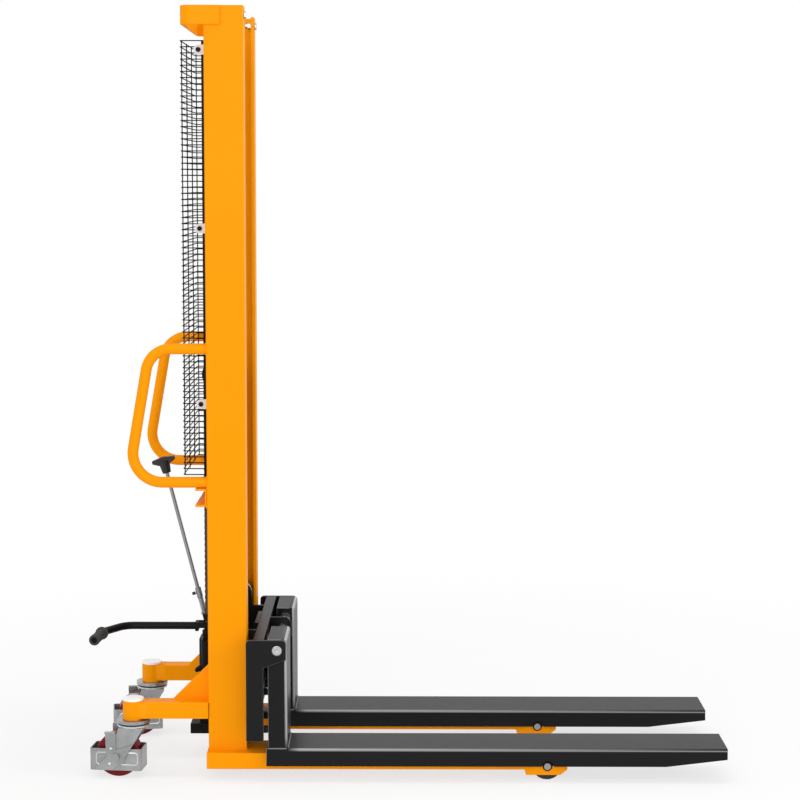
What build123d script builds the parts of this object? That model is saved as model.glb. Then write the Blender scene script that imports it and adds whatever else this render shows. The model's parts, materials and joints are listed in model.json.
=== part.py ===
from build123d import *
import math
import os

# A manual high-lift pallet truck, in millimetres and degrees.
# +X runs along the forks, away from the operator, +Y is to the left, +Z is up and the floor is Z = 0.
# X is measured from the mast's front face, and FRONT_FACE_X then moves that face so that the origin
# lies under the middle of the outline.
FRONT_FACE_X = -418.04

# Clearances that fits share
RUNNING_FIT = 0.05
SEAT_GAP = 0.3

# Base legs
LEG_GROUND_GAP = 30
LEG_HEIGHT = 43
LEG_WIDTH = 124
LEG_WALL = 6
LEG_REAR_STEP = 3
CHEEK_WALL = 8
CHEEK_DROP = 14
CHEEK_LENGTH = 111
CHEEK_NOSE = 52
CHEEK_SLOPE = 18
CHEEK_HEEL_SLOPE = 4
LOAD_ROLLER_RADIUS = 40
LOAD_ROLLER_X = 781
LOAD_ROLLER_SIDE_GAP = 5
LOAD_ROLLER_CHAMFER = 3
LOAD_AXLE_RADIUS = 7.5
LOAD_AXLE_HEAD_RADIUS = 9
LOAD_AXLE_HEAD = 6

# Forks
FORK_SPREAD = 550
FORK_WIDTH = 160
FORK_REACH = 1138
FORK_TOP_WALL = 8
FORK_SIDE_WALL = 6
FORK_OVER_LEG_GAP = 9
FORK_SIDE_HEIGHT = 47
TIP_HEIGHT = 28
TIP_TAPER = 158
TIP_WALL = 6
HEEL_STEP = 5
SHANK_DEPTH = 50
SHANK_HEIGHT = 287
SHANK_WALL = 8
NOTCH_RADIUS = 16
FORK_EDGE_RADIUS = 8
FORK_SHAFT_RADIUS = 12.5
FORK_BUSH_WALL = 6
SHAFT_INSET = 24
SHAFT_DROP = 27
SHAFT_DIMPLE_RADIUS = 3
SHAFT_DIMPLE_DEPTH = 3

# Mast
MAST_DEPTH = 100
MAST_FLANGE = 60
MAST_WEB_WALL = 8
MAST_FLANGE_WALL = 9
MAST_INNER_RADIUS = 6
MAST_OUTER_RADIUS = 3
LIFT = 1510
STOP_GAP = 3
STOP_BOLT_RADIUS = 6
STOP_BOLT_HEAD_RADIUS = 9.5
STOP_BOLT_HEAD = 5.5
STOP_BOLT_NUT = 10
STOP_BOLT_TAIL = 6
STOP_EDGE = 23
HOOP_WALL = 6
HOOP_HEIGHT = 48
HOOP_LAP = 40
HOOP_REACH = 60
HOOP_CORNER = 27
CROSSBEAM_TOP = 760
CROSSBEAM_HEIGHT = 48
CROSSBEAM_REACH = 31
CROSSBEAM_WALL = 6
CROSSBEAM_END_INSET = 3
BASE_BEAM_BOTTOM = 45
BASE_BEAM_HEIGHT = 21

# Carriage
CARRIAGE_GAP = 20
TOP_BAR_DEPTH = 28
TOP_BAR_HEIGHT = 47
BOTTOM_BAR_WALL = 12
BOTTOM_BAR_HEIGHT = 49
PAD_REACH = 37.7
PAD_WIDTH = 20
PAD_RISE = 20
PAD_HEIGHT = 16
CARRIAGE_RISE = 21
SIDE_PLATE_WALL = 10
SIDE_PLATE_GAP = 2
SIDE_PLATE_REAR = 2
SIDE_PLATE_NOSE = 23
SIDE_PLATE_WAIST = 45
SIDE_PLATE_EAR = 52
SIDE_PLATE_SLOPE = 20
SIDE_PLATE_CORNER = 10
SIDE_PLATE_FOOT_CORNER = 5
CENTRE_PLATE_WALL = 8
CENTRE_PLATE_NOSE = 22
CENTRE_PLATE_CHAMFER = 12
ROLLER_PLATE_WALL = 12
ROLLER_PLATE_GAP = 3
ROLLER_PLATE_REAR = 18
ROLLER_PLATE_SHOULDER = 30.5
ROLLER_PLATE_LEAN = 6
ROLLER_PLATE_TOP = 27
ROLLER_PLATE_CORNER = 10
ROLLER_PLATE_BROW = 22
MAST_ROLLER_GAP = 1
MAST_ROLLER_SHIFT = 0.7
MAST_ROLLER_WIDTH = 40
MAST_ROLLER_CHAMFER = 3
MAST_ROLLER_WEB_GAP = 5
MAST_AXLE_RADIUS = 15
MAST_AXLE_SHOULDER = 20
LOWER_ROLLER_RISE = 22
ROLLER_SPACING = 272
LIFT_ANCHOR_RISE = 84
LIFT_ANCHOR_HEIGHT = 30
LIFT_ANCHOR_WALL = 10
LIFT_ANCHOR_HALF_WIDTH = 75

# Ram and lift chains
RAM_INSET = 10
CYLINDER_RADIUS = 22
CYLINDER_BORE_RADIUS = 17
CYLINDER_FOOT_Z = 150
CYLINDER_FLOOR = 10
GLAND_LENGTH = 30
GLAND_RADIUS = 26
RAM_RADIUS = 16
RAM_FOOT_RISE = 10
RAM_FOOT = 20
RAM_END_GAP = 10
YOKE_RISE = 10
YOKE_HALF_DEPTH = 20
YOKE_HALF_WIDTH = 36
YOKE_SOCKET = 15
YOKE_PIN_RISE = 45
YOKE_CROWN = 22
YOKE_PIN_RADIUS = 10
YOKE_PIN_HEAD_RADIUS = 13
YOKE_PIN_HEAD = 4
CHAIN_OFFSET = 50
CHAIN_WIDTH = 12
CHAIN_HEIGHT = 13
CHAIN_PITCH_RADIUS = 27.5
CHAIN_SLOT_GAP = 3
PULLEY_FLANGE_RADIUS = 36
PULLEY_FLANGE = 3.5
PULLEY_GROOVE_GAP = 2.5
FRAME_ANCHOR_RISE = 54
FRAME_ANCHOR_HEIGHT = 18
FRAME_ANCHOR_HALF_WIDTH = 58
FRAME_ANCHOR_REACH = 30
FRAME_ANCHOR_EDGE = 2

# Pump, tank and pedal
PUMP_BASE_REAR = 66
PUMP_BASE_HALF_WIDTH = 45
PUMP_BASE_HEIGHT = 28
PUMP_TOP_Z = 324
PUMP_REACH = 52
PUMP_FRONT = 30
PUMP_HALF_WIDTH = 36
PUMP_CORNER = 8
TANK_DEPTH = 60
TANK_HEIGHT = 206
TANK_WALL = 3
TANK_PLUG_RADIUS = 9
TANK_PLUG_HEAD_RADIUS = 13
TANK_PLUG_HEAD = 8
PLUNGER_X = -120
PLUNGER_Y = -42
PLUNGER_RADIUS = 9
PLUNGER_DEPTH = 68
PLUNGER_STROKE_ROOM = 16
PLUNGER_HEAD_RADIUS = 12
PLUNGER_HEAD = 8.5
PLUNGER_TOP_GAP = 0.5
PUMP_BOSS_RADIUS = 16
PUMP_BOSS_HEIGHT = 118
PUMP_STUB_X = -120
PUMP_STUB_Z = 262
PUMP_STUB_END_X = -147
PUMP_STUB_END_Z = 241
PUMP_STUB_RADIUS = 6.5
PUMP_SPRING_WIRE = 2.5
PUMP_SPRING_RADIUS = 11
PUMP_SPRING_TURNS = 3
PEDAL_Z = 362
PEDAL_PIVOT_X = -98
PEDAL_PIN_RADIUS = 6
PEDAL_EAR_WALL = 16
PEDAL_EAR_RADIUS = 9
PEDAL_ARM_WALL = 7
PEDAL_ARM_GAP = 0.5
PEDAL_ARM_HEIGHT = 16
PEDAL_EYE_RADIUS = 11
PEDAL_ARM_SOFFIT = 4
PEDAL_ROLLER_RADIUS = 7
PEDAL_HEAD_X = -141
PEDAL_HEAD_DEPTH = 9
PEDAL_HEAD_HEIGHT = 24
PEDAL_BAR_RADIUS = 10
PEDAL_BEND_X = -338
PEDAL_BEND_RADIUS = 45
PEDAL_ELBOW_X = -386
PEDAL_ELBOW_Y = -120
PEDAL_ELBOW_RADIUS = 60
PEDAL_END_X = -395
PEDAL_END_Y = -217
GRIP_LENGTH = 82
GRIP_RADIUS = 13.5
GRIP_COLLAR_RADIUS = 17
GRIP_COLLAR = 6
GRIP_END_WALL = 5
GRIP_END_HOLE_RADIUS = 7.8

# Release rod and knob, along one slanting line
RELEASE_Y = 22
RELEASE_TOP_X = -230
RELEASE_TOP_Z = 766
RELEASE_FOOT_X = -132
RELEASE_FOOT_Z = 383
RELEASE_ROD_RADIUS = 5
RELEASE_SLEEVE_RADIUS = 8
RELEASE_SLEEVE = 26
RELEASE_SCREW_RADIUS = 3
RELEASE_SCREW = 9
RELEASE_WASHER_RADIUS = 10
RELEASE_WASHER = 2
RELEASE_SPRING_LENGTH = 44
RELEASE_SPRING_RADIUS = 6.4
RELEASE_SPRING_WIRE = 2.4
RELEASE_SPRING_TURNS = 10
VALVE_RADIUS = 7
KNOB_HUB_RADIUS = 16
KNOB_NECK_RADIUS = 11
KNOB_HUB = 34
KNOB_WING_SPAN = 62
KNOB_WING_WIDTH = 18
KNOB_WING_HEIGHT = 16
KNOB_WING_DROOP = 5
KNOB_WING_TIP = 8

# Handles
HANDLE_OFFSET = 15
HANDLE_RADIUS = 14
HANDLE_WALL = 2.5
HANDLE_TOP_Z = 1120
HANDLE_BOTTOM_Z = 775
HANDLE_TOP_REACH = 145
HANDLE_BOTTOM_REACH = 205
HANDLE_TOP_BEND = 65
HANDLE_BOTTOM_BEND = 75

# Wire guard
GUARD_WIRE = 2.4
GUARD_HALF_WIDTH = 192
GUARD_REACH = 62
GUARD_BOTTOM_Z = 791
GUARD_TOP_GAP = 37
GUARD_ROW_PITCH = 15.8
GUARD_COLUMNS = 3
GUARD_STRIP = 8
GUARD_STRIP_GAP = 1
CLAMP_COUNT = 3
CLAMP_TOP_DROP = 24
CLAMP_SPACING = 451
CLAMP_LENGTH = 28
CLAMP_HEIGHT = 25
CLAMP_WALL = 3
CLAMP_SCREW_RADIUS = 5
CLAMP_SCREW_HEAD = 3
CLAMP_SCREW_INSET = 16

# Castors
CASTOR_OFFSET = 10
CASTOR_REACH = 198
CASTOR_ARM_WIDTH = 50
CASTOR_ARM_HEIGHT = 43
CASTOR_ARM_Z = 156
CASTOR_ARM_WALL = 4
GUSSET_LENGTH = 96
GUSSET_HEIGHT = 95
GUSSET_WALL = 8
STEM_TUBE_RADIUS = 27.5
STEM_TUBE_BOTTOM = 151
STEM_TUBE_HEIGHT = 50
STEM_CAP_HEIGHT = 6
STEM_CAP_CROWN = 2
STEM_RADIUS = 15
STEM_TOP_GAP = 5
SWIVEL_RADIUS = 43.5
SWIVEL_HEIGHT = 17
SWIVEL_RACE = 8
SWIVEL_RACE_STEP = 3
CASTOR_TRAIL = 38
CASTOR_WHEEL_RADIUS = 58
CASTOR_WHEEL_WIDTH = 45
CASTOR_CORE_RADIUS = 42
CASTOR_CORE_DISH = 6
CASTOR_CORE_RIM = 8
CASTOR_HUB_RADIUS = 17
CASTOR_TYRE_CROWN = 6
CASTOR_AXLE_RADIUS = 6
CASTOR_NUT_RADIUS = 10
CASTOR_NUT = 6
YOKE_LEG_WALL = 4
YOKE_LEG_TOP = 64
YOKE_LEG_FOOT_RADIUS = 25
GUARD_RING_WALL = 3
GUARD_RING_SIDE_GAP = 10.5
GUARD_RING_REAR = 71
GUARD_RING_FRONT = 66
GUARD_RING_BOTTOM = 20
GUARD_RING_HEIGHT = 58
GUARD_RING_CORNER = 8
GUARD_BRACKET_WALL = 3
GUARD_BRACKET_FOOT = 59
GUARD_BRACKET_FOOT_START = 8
GUARD_BRACKET_WAIST = 26
GUARD_BRACKET_NECK = 18
GUARD_BRACKET_EAR = 33
GUARD_BRACKET_SHOULDER = 10
GUARD_BRACKET_TOP = 125
GUARD_BRACKET_WIDTH = 28
GUARD_BRACKET_TAB = 10
CASTOR_TURN_LEFT = 8
CASTOR_TURN_RIGHT = -6

# Places worked out from the sizes above
FORK_OUTER = FORK_SPREAD / 2
FORK_INNER = FORK_OUTER - FORK_WIDTH
FORK_CENTRE = (FORK_INNER + FORK_OUTER) / 2
LEG_TOP = LEG_GROUND_GAP + LEG_HEIGHT
LEG_INNER = FORK_CENTRE - LEG_WIDTH / 2
LEG_OUTER = FORK_CENTRE + LEG_WIDTH / 2
FORK_TOP = LEG_TOP + FORK_OVER_LEG_GAP + FORK_TOP_WALL
MAST_OUTER = FORK_CENTRE + MAST_FLANGE / 2
MAST_INNER = FORK_CENTRE - MAST_FLANGE / 2
MAST_REAR = -MAST_DEPTH
MAST_ROLLER_RADIUS = MAST_DEPTH / 2 - MAST_FLANGE_WALL - MAST_ROLLER_GAP
CARRIAGE_TOP = FORK_TOP + SHANK_HEIGHT
CARRIAGE_BOTTOM = FORK_TOP + CARRIAGE_RISE
BOTTOM_BAR_TOP = CARRIAGE_BOTTOM + BOTTOM_BAR_HEIGHT
BOTTOM_BAR_REAR = CARRIAGE_GAP - BOTTOM_BAR_WALL
LOWER_ROLLER_Z = CARRIAGE_BOTTOM + LOWER_ROLLER_RISE
UPPER_ROLLER_Z = LOWER_ROLLER_Z + ROLLER_SPACING
STOP_BOLT_Z = UPPER_ROLLER_Z + LIFT + MAST_ROLLER_RADIUS + STOP_GAP + STOP_BOLT_RADIUS
MAST_TOP = STOP_BOLT_Z + STOP_EDGE
SHANK_REAR = CARRIAGE_GAP + PAD_REACH + SEAT_GAP
SHANK_FRONT = SHANK_REAR + SHANK_DEPTH
FORK_TIP = SHANK_FRONT + FORK_REACH
SHAFT_X = SHANK_REAR + SHAFT_INSET
SHAFT_Z = CARRIAGE_TOP - SHAFT_DROP
SIDE_PLATE_INNER = FORK_SPREAD / 2 + SIDE_PLATE_GAP
SIDE_PLATE_OUTER = SIDE_PLATE_INNER + SIDE_PLATE_WALL
RAM_X = MAST_REAR + RAM_INSET
RAM_STROKE = LIFT / 2
RAM_FOOT_Z = CYLINDER_FOOT_Z + CYLINDER_FLOOR + RAM_FOOT_RISE
CYLINDER_TOP = RAM_FOOT_Z + RAM_FOOT + RAM_STROKE + RAM_END_GAP + GLAND_LENGTH
YOKE_BOTTOM = CYLINDER_TOP + YOKE_RISE
PULLEY_Z = YOKE_BOTTOM + YOKE_PIN_RISE
CHAIN_REAR_X = RAM_X - CHAIN_PITCH_RADIUS
CHAIN_FRONT_X = RAM_X + CHAIN_PITCH_RADIUS
FRAME_ANCHOR_Z = PUMP_TOP_Z + FRAME_ANCHOR_RISE + FRAME_ANCHOR_HEIGHT
LIFT_ANCHOR_Z = CARRIAGE_BOTTOM + LIFT_ANCHOR_RISE + LIFT_ANCHOR_HEIGHT
PUMP_BASE_Z = BASE_BEAM_BOTTOM + BASE_BEAM_HEIGHT
PUMP_FLOOR_Z = PUMP_BASE_Z + PUMP_BASE_HEIGHT
PUMP_REAR = RAM_X - PUMP_REACH
PUMP_FACE = RAM_X + PUMP_FRONT
PEDAL_ROLLER_Z = PEDAL_Z - PEDAL_ARM_SOFFIT
PLUNGER_TOP = PEDAL_ROLLER_Z - PEDAL_ROLLER_RADIUS - PLUNGER_TOP_GAP
GUARD_REAR = MAST_REAR - GUARD_REACH
GUARD_TOP_Z = MAST_TOP - HOOP_HEIGHT - GUARD_TOP_GAP
CASTOR_X = MAST_REAR - CASTOR_REACH
CASTOR_Y = FORK_CENTRE + CASTOR_OFFSET
STEM_TUBE_TOP = STEM_TUBE_BOTTOM + STEM_TUBE_HEIGHT
SWIVEL_TOP = STEM_TUBE_BOTTOM - SEAT_GAP
SWIVEL_BOTTOM = SWIVEL_TOP - SWIVEL_HEIGHT
GUARD_RING_HALF = CASTOR_WHEEL_WIDTH / 2 + GUARD_RING_SIDE_GAP + GUARD_RING_WALL
YOKE_LEG_OUTER = GUARD_RING_HALF + YOKE_LEG_WALL
CROWN_BOTTOM = SWIVEL_BOTTOM - YOKE_LEG_WALL


# Helpers

def block(x_range, y_range, z_range):
    """A rectangular block between two limits on each axis."""
    ranges = (x_range, y_range, z_range)
    middle = [(low + high) / 2 for low, high in ranges]
    size = [abs(high - low) for low, high in ranges]
    return Pos(*middle) * Box(*size)


def cross_rod(x, z, radius, y_start, y_end):
    """A round bar across the truck."""
    return Pos(x, (y_start + y_end) / 2, z) * Rot(90, 0, 0) * Cylinder(radius, abs(y_end - y_start))


def upright(x, y, radius, z_start, z_end):
    """A standing round bar."""
    return Pos(x, y, (z_start + z_end) / 2) * Cylinder(radius, z_end - z_start)


def rod(start, end, radius):
    """A round bar between two points."""
    way = Vector(*end) - Vector(*start)
    return extrude(Plane(origin=start, z_dir=way) * Circle(radius), amount=way.length)


def hexagon_rod(start, end, radius):
    """A hexagonal bar between two points, with the radius to its corners."""
    way = Vector(*end) - Vector(*start)
    return extrude(Plane(origin=start, z_dir=way) * RegularPolygon(radius, 6), amount=way.length)


def plate(points, y_start, y_end):
    """A flat upright plate with an outline of (x, z) points, between two widths."""
    face = Plane(origin=(0, y_start, 0), x_dir=(1, 0, 0), z_dir=(0, -1, 0)) * Polygon(*points, align=None)
    return extrude(face, amount=y_end - y_start, dir=(0, 1, 0))


def rounded(part, corners, radius):
    """The part with its upright-plate edges at the given (x, z) corners rounded."""
    edges = [
        edge
        for edge in part.edges().filter_by(Axis.Y)
        for x, z in corners
        if abs(edge.center().X - x) < 0.01 and abs(edge.center().Z - z) < 0.01
    ]
    return fillet(edges, radius)


def tube_along(path, outer_radius, inner_radius):
    """A bent tube along a path."""
    start = Plane(origin=path @ 0, z_dir=path % 0)
    outer = sweep(start * Circle(outer_radius), path=path)
    inner = sweep(start * Circle(inner_radius), path=path)
    return outer - inner


def biarc(start, start_way, end, end_way):
    """Two arcs that leave one point and reach another along given directions."""
    chord = end - start
    ways = start_way + end_way
    spread = 2 * (1 - start_way.dot(end_way))
    along = chord.dot(ways)
    reach = (math.sqrt(along ** 2 + spread * chord.dot(chord)) - along) / spread
    first = start + start_way * reach
    second = end - end_way * reach
    middle = (first + second) * 0.5
    return [TangentArc(start, middle, tangent=start_way), TangentArc(middle, end, tangent=second - first)]


def coil(name, radius, wire, turns, length):
    """A coil spring along +Z from the origin, one unbroken wire with its lowest point at Z = 0."""
    climb = (length - wire) / turns

    def point(turn):
        angle = 2 * math.pi * turn
        return Vector(radius * math.cos(angle), radius * math.sin(angle), wire / 2 + climb * turn)

    def way(turn):
        angle = 2 * math.pi * turn
        step = 2 * math.pi * radius
        return Vector(-step * math.sin(angle), step * math.cos(angle), climb).normalized()

    stops = [half / 2 for half in range(int(turns * 2) + 1)]
    edges = []
    for low, high in zip(stops, stops[1:]):
        edges += biarc(point(low), way(low), point(high), way(high))
    path = Wire(edges)
    wound = sweep(Plane(origin=path @ 0, z_dir=path % 0) * Circle(wire / 2), path=path)
    samples = 40
    first_turn = [point(step / samples) for step in range(samples)]
    next_turns = [point(1 + step / samples - 0.25) for step in range(samples)]
    gap = min((a - b).length for a in first_turn for b in next_turns if (b - a).Z > climb / 2) - wire
    print(f"{name}: least gap between turns {gap:.2f} mm")
    return wound


def on_side(part, side):
    """The part as built on the left, or its mirror image on the right."""
    return part if side > 0 else mirror(part, about=Plane.XZ)


def pair(part):
    """The part and its mirror image, as separate solids."""
    return group([part, mirror(part, about=Plane.XZ)])


def group(parts):
    """Several parts in one node, each still its own solid."""
    return Compound([solid for part in parts for solid in part.solids()])


# Frame

def stop_rod(x_start, x_end, radius, shape=rod):
    """A bar along a stop bolt's axis, round unless another shape is asked for."""
    return shape((x_start, FORK_CENTRE, STOP_BOLT_Z), (x_end, FORK_CENTRE, STOP_BOLT_Z), radius)


def mast():
    """One mast channel, open towards the middle, with a hole for its stop bolt."""
    outer = Pos(MAST_REAR / 2, FORK_CENTRE) * Rectangle(MAST_DEPTH, MAST_FLANGE)
    room_width = MAST_FLANGE - MAST_WEB_WALL
    room = Pos(MAST_REAR / 2, MAST_INNER + room_width / 2) * Rectangle(
        MAST_DEPTH - 2 * MAST_FLANGE_WALL, room_width
    )
    section = outer - room
    section = fillet(section.vertices().group_by(Axis.Y)[-1], MAST_OUTER_RADIUS)
    web_face = MAST_OUTER - MAST_WEB_WALL
    section = fillet([v for v in section.vertices() if abs(v.Y - web_face) < 0.01], MAST_INNER_RADIUS)
    channel = extrude(Pos(0, 0, LEG_TOP) * section, amount=MAST_TOP - LEG_TOP)
    return channel - stop_rod(-MAST_FLANGE_WALL, 0, STOP_BOLT_RADIUS)


def stop_bolt():
    """The bolt and nut through a mast's front flange that stop the carriage at the top."""
    nut_face = -MAST_FLANGE_WALL - STOP_BOLT_NUT
    shank = stop_rod(nut_face - STOP_BOLT_TAIL, 0, STOP_BOLT_RADIUS)
    head = stop_rod(0, STOP_BOLT_HEAD, STOP_BOLT_HEAD_RADIUS, hexagon_rod)
    nut = stop_rod(nut_face, -MAST_FLANGE_WALL, STOP_BOLT_HEAD_RADIUS, hexagon_rod)
    return shank + head + nut


def top_hoop():
    """The strap that ties the mast tops together, round the back."""
    front = MAST_REAR + HOOP_LAP
    rear = MAST_REAR - HOOP_REACH

    def outline(wall, corner):
        depth = front - rear - wall
        width = 2 * (MAST_OUTER + HOOP_WALL - wall)
        shape = Pos(front - depth / 2, 0) * Rectangle(depth, width)
        return fillet(shape.vertices().group_by(Axis.X)[0], corner)

    strap = outline(0, HOOP_CORNER) - outline(HOOP_WALL, HOOP_CORNER - HOOP_WALL)
    return extrude(Pos(0, 0, MAST_TOP - HOOP_HEIGHT) * strap, amount=HOOP_HEIGHT)


def mid_crossbeam():
    """The channel behind the mast, open to the rear, cut for the ram cylinder and the chains."""
    half = MAST_OUTER - CROSSBEAM_END_INSET
    bottom = CROSSBEAM_TOP - CROSSBEAM_HEIGHT
    rear = MAST_REAR - CROSSBEAM_REACH
    beam = block((rear, MAST_REAR), (-half, half), (bottom, CROSSBEAM_TOP))
    web_face = MAST_REAR - CROSSBEAM_WALL
    beam -= block((rear, web_face), (-half, half), (bottom + CROSSBEAM_WALL, CROSSBEAM_TOP - CROSSBEAM_WALL))
    beam -= upright(RAM_X, 0, CYLINDER_RADIUS, bottom, CROSSBEAM_TOP)
    slot_half = CHAIN_WIDTH / 2 + CHAIN_SLOT_GAP
    for side in (1, -1):
        slot = (side * CHAIN_OFFSET - slot_half, side * CHAIN_OFFSET + slot_half)
        beam -= block((rear, web_face), slot, (bottom, CROSSBEAM_TOP))
    return beam


def base_crossbeam():
    """The plate between the legs that the pump stands on."""
    return block(
        (MAST_REAR - LEG_REAR_STEP, -LEG_REAR_STEP),
        (-LEG_INNER, LEG_INNER),
        (BASE_BEAM_BOTTOM, BASE_BEAM_BOTTOM + BASE_BEAM_HEIGHT),
    )


def load_axle_rod(radius, y_start, y_end):
    """A round bar on the load roller's axis."""
    return cross_rod(LOAD_ROLLER_X, LOAD_ROLLER_RADIUS, radius, y_start, y_end)


def leg():
    """One base leg: a channel open below, with cheeks that carry the load roller."""
    rear = MAST_REAR - LEG_REAR_STEP
    nose = LOAD_ROLLER_X + CHEEK_NOSE
    top_end = LOAD_ROLLER_X - LOAD_ROLLER_RADIUS - LOAD_ROLLER_SIDE_GAP
    channel = block((rear, top_end), (LEG_INNER, LEG_OUTER), (LEG_GROUND_GAP, LEG_TOP))
    channel -= block(
        (rear + LEG_WALL, top_end),
        (LEG_INNER + LEG_WALL, LEG_OUTER - LEG_WALL),
        (LEG_GROUND_GAP, LEG_TOP - LEG_WALL),
    )
    low = LEG_GROUND_GAP - CHEEK_DROP
    outline = [
        (nose - CHEEK_LENGTH - CHEEK_SLOPE, LEG_TOP),
        (nose, LEG_TOP),
        (nose, LEG_GROUND_GAP),
        (nose - CHEEK_SLOPE, low),
        (nose - CHEEK_LENGTH + CHEEK_HEEL_SLOPE, low),
        (nose - CHEEK_LENGTH, LEG_GROUND_GAP),
        (nose - CHEEK_LENGTH - CHEEK_SLOPE, LEG_GROUND_GAP),
    ]
    shape = channel + plate(outline, LEG_INNER, LEG_INNER + CHEEK_WALL)
    shape += plate(outline, LEG_OUTER - CHEEK_WALL, LEG_OUTER)
    return shape - load_axle_rod(LOAD_AXLE_RADIUS, LEG_INNER, LEG_OUTER)


def load_axle():
    """The pin that carries a load roller, with a flat head outside each cheek."""
    pin = load_axle_rod(LOAD_AXLE_RADIUS, LEG_INNER, LEG_OUTER)
    for face, end in ((LEG_OUTER, LEG_OUTER + LOAD_AXLE_HEAD), (LEG_INNER, LEG_INNER - LOAD_AXLE_HEAD)):
        pin += load_axle_rod(LOAD_AXLE_HEAD_RADIUS, face, end)
    return pin


def load_roller():
    """The roller that a leg's front end stands on."""
    inner = LEG_INNER + CHEEK_WALL + LOAD_ROLLER_SIDE_GAP
    outer = LEG_OUTER - CHEEK_WALL - LOAD_ROLLER_SIDE_GAP
    wheel = load_axle_rod(LOAD_ROLLER_RADIUS, inner, outer)
    wheel = chamfer(wheel.edges().filter_by(GeomType.CIRCLE), LOAD_ROLLER_CHAMFER)
    return wheel - load_axle_rod(LOAD_AXLE_RADIUS + RUNNING_FIT, inner, outer)


def handle():
    """One bent-tube operator handle behind the mast."""
    y = FORK_CENTRE + HANDLE_OFFSET
    path = FilletPolyline(
        (MAST_REAR, y, HANDLE_TOP_Z),
        (MAST_REAR - HANDLE_TOP_REACH, y, HANDLE_TOP_Z),
        (MAST_REAR - HANDLE_BOTTOM_REACH, y, HANDLE_BOTTOM_Z),
        (MAST_REAR, y, HANDLE_BOTTOM_Z),
        radius=[HANDLE_TOP_BEND, HANDLE_BOTTOM_BEND],
    )
    return tube_along(path, HANDLE_RADIUS, HANDLE_RADIUS - HANDLE_WALL)


# Wire guard

def guard_rows():
    """How many gaps the guard's nets have, one above the other."""
    return round((GUARD_TOP_Z - GUARD_BOTTOM_Z) / GUARD_ROW_PITCH)


def net(width, columns, plane, thickness):
    """A flat net between the guard's bottom and top, as one holed face."""
    height = GUARD_TOP_Z - GUARD_BOTTOM_Z
    row = (height - GUARD_WIRE) / guard_rows()
    column = (width - GUARD_WIRE) / columns
    gap = Rectangle(column - GUARD_WIRE, row - GUARD_WIRE)
    face = Rectangle(width, height) - GridLocations(column, row, columns, guard_rows()) * gap
    return extrude(plane * face, amount=thickness)


def guard_rear():
    """The net behind the mast."""
    middle = (GUARD_TOP_Z + GUARD_BOTTOM_Z) / 2
    plane = Plane(origin=(GUARD_REAR - GUARD_WIRE / 2, 0, middle), x_dir=(0, 1, 0), z_dir=(1, 0, 0))
    return net(2 * GUARD_HALF_WIDTH + GUARD_WIRE, GUARD_COLUMNS, plane, GUARD_WIRE)


def guard_side():
    """The net beside the mast, with the flat strip along its front edge."""
    rear = GUARD_REAR + GUARD_WIRE / 2
    front = MAST_REAR - GUARD_STRIP_GAP
    inner = GUARD_HALF_WIDTH - GUARD_WIRE / 2
    middle = (GUARD_TOP_Z + GUARD_BOTTOM_Z) / 2
    strip = block((front - GUARD_STRIP, front), (inner, inner + GUARD_WIRE), (GUARD_BOTTOM_Z, GUARD_TOP_Z))
    width = front - GUARD_STRIP + GUARD_WIRE / 2 - rear
    plane = Plane(origin=(rear + width / 2, inner, middle), x_dir=(1, 0, 0), z_dir=(0, -1, 0))
    return net(width, 1, plane, -GUARD_WIRE) + strip


def guard_clamp(z):
    """A tab on the mast and the screw that holds the guard to it."""
    face = GUARD_HALF_WIDTH + GUARD_WIRE / 2
    half = CLAMP_HEIGHT / 2
    end = MAST_REAR - CLAMP_LENGTH
    tab = block((end + half, MAST_REAR), (face, face + CLAMP_WALL), (z - half, z + half))
    tab += cross_rod(end + half, z, half, face, face + CLAMP_WALL)
    screw_x = MAST_REAR - CLAMP_SCREW_INSET
    screw = cross_rod(screw_x, z, CLAMP_SCREW_RADIUS, face + CLAMP_WALL, face + CLAMP_WALL + CLAMP_SCREW_HEAD)
    return group([tab, screw])


def guard_clamps():
    """All the guard's tabs and screws, both sides."""
    heights = [GUARD_TOP_Z - CLAMP_TOP_DROP - number * CLAMP_SPACING for number in range(CLAMP_COUNT)]
    return pair(group([guard_clamp(z) for z in heights]))


# Carriage and forks

def side_plate():
    """The plate that holds one end of the fork shaft."""
    rear = SIDE_PLATE_REAR
    waist = rear + SIDE_PLATE_WAIST
    nose = SHAFT_X + SIDE_PLATE_NOSE
    ear = CARRIAGE_TOP - SIDE_PLATE_EAR
    outline = [
        (rear, CARRIAGE_BOTTOM),
        (waist, CARRIAGE_BOTTOM),
        (waist, ear - SIDE_PLATE_SLOPE),
        (nose, ear),
        (nose, CARRIAGE_TOP),
        (rear, CARRIAGE_TOP),
    ]
    shape = plate(outline, SIDE_PLATE_INNER, SIDE_PLATE_OUTER)
    shape = rounded(shape, [(rear, CARRIAGE_TOP), (nose, CARRIAGE_TOP)], SIDE_PLATE_CORNER)
    shape = rounded(shape, [(waist, CARRIAGE_BOTTOM)], SIDE_PLATE_FOOT_CORNER)
    return shape - cross_rod(SHAFT_X, SHAFT_Z, FORK_SHAFT_RADIUS, SIDE_PLATE_INNER, SIDE_PLATE_OUTER)


def carriage_bar(x_range, z_range):
    """A bar between the side plates."""
    return block(x_range, (-SIDE_PLATE_INNER, SIDE_PLATE_INNER), z_range)


def top_bar():
    """The bar across the carriage's top."""
    return carriage_bar(
        (CARRIAGE_GAP, CARRIAGE_GAP + TOP_BAR_DEPTH), (CARRIAGE_TOP - TOP_BAR_HEIGHT, CARRIAGE_TOP)
    )


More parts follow.
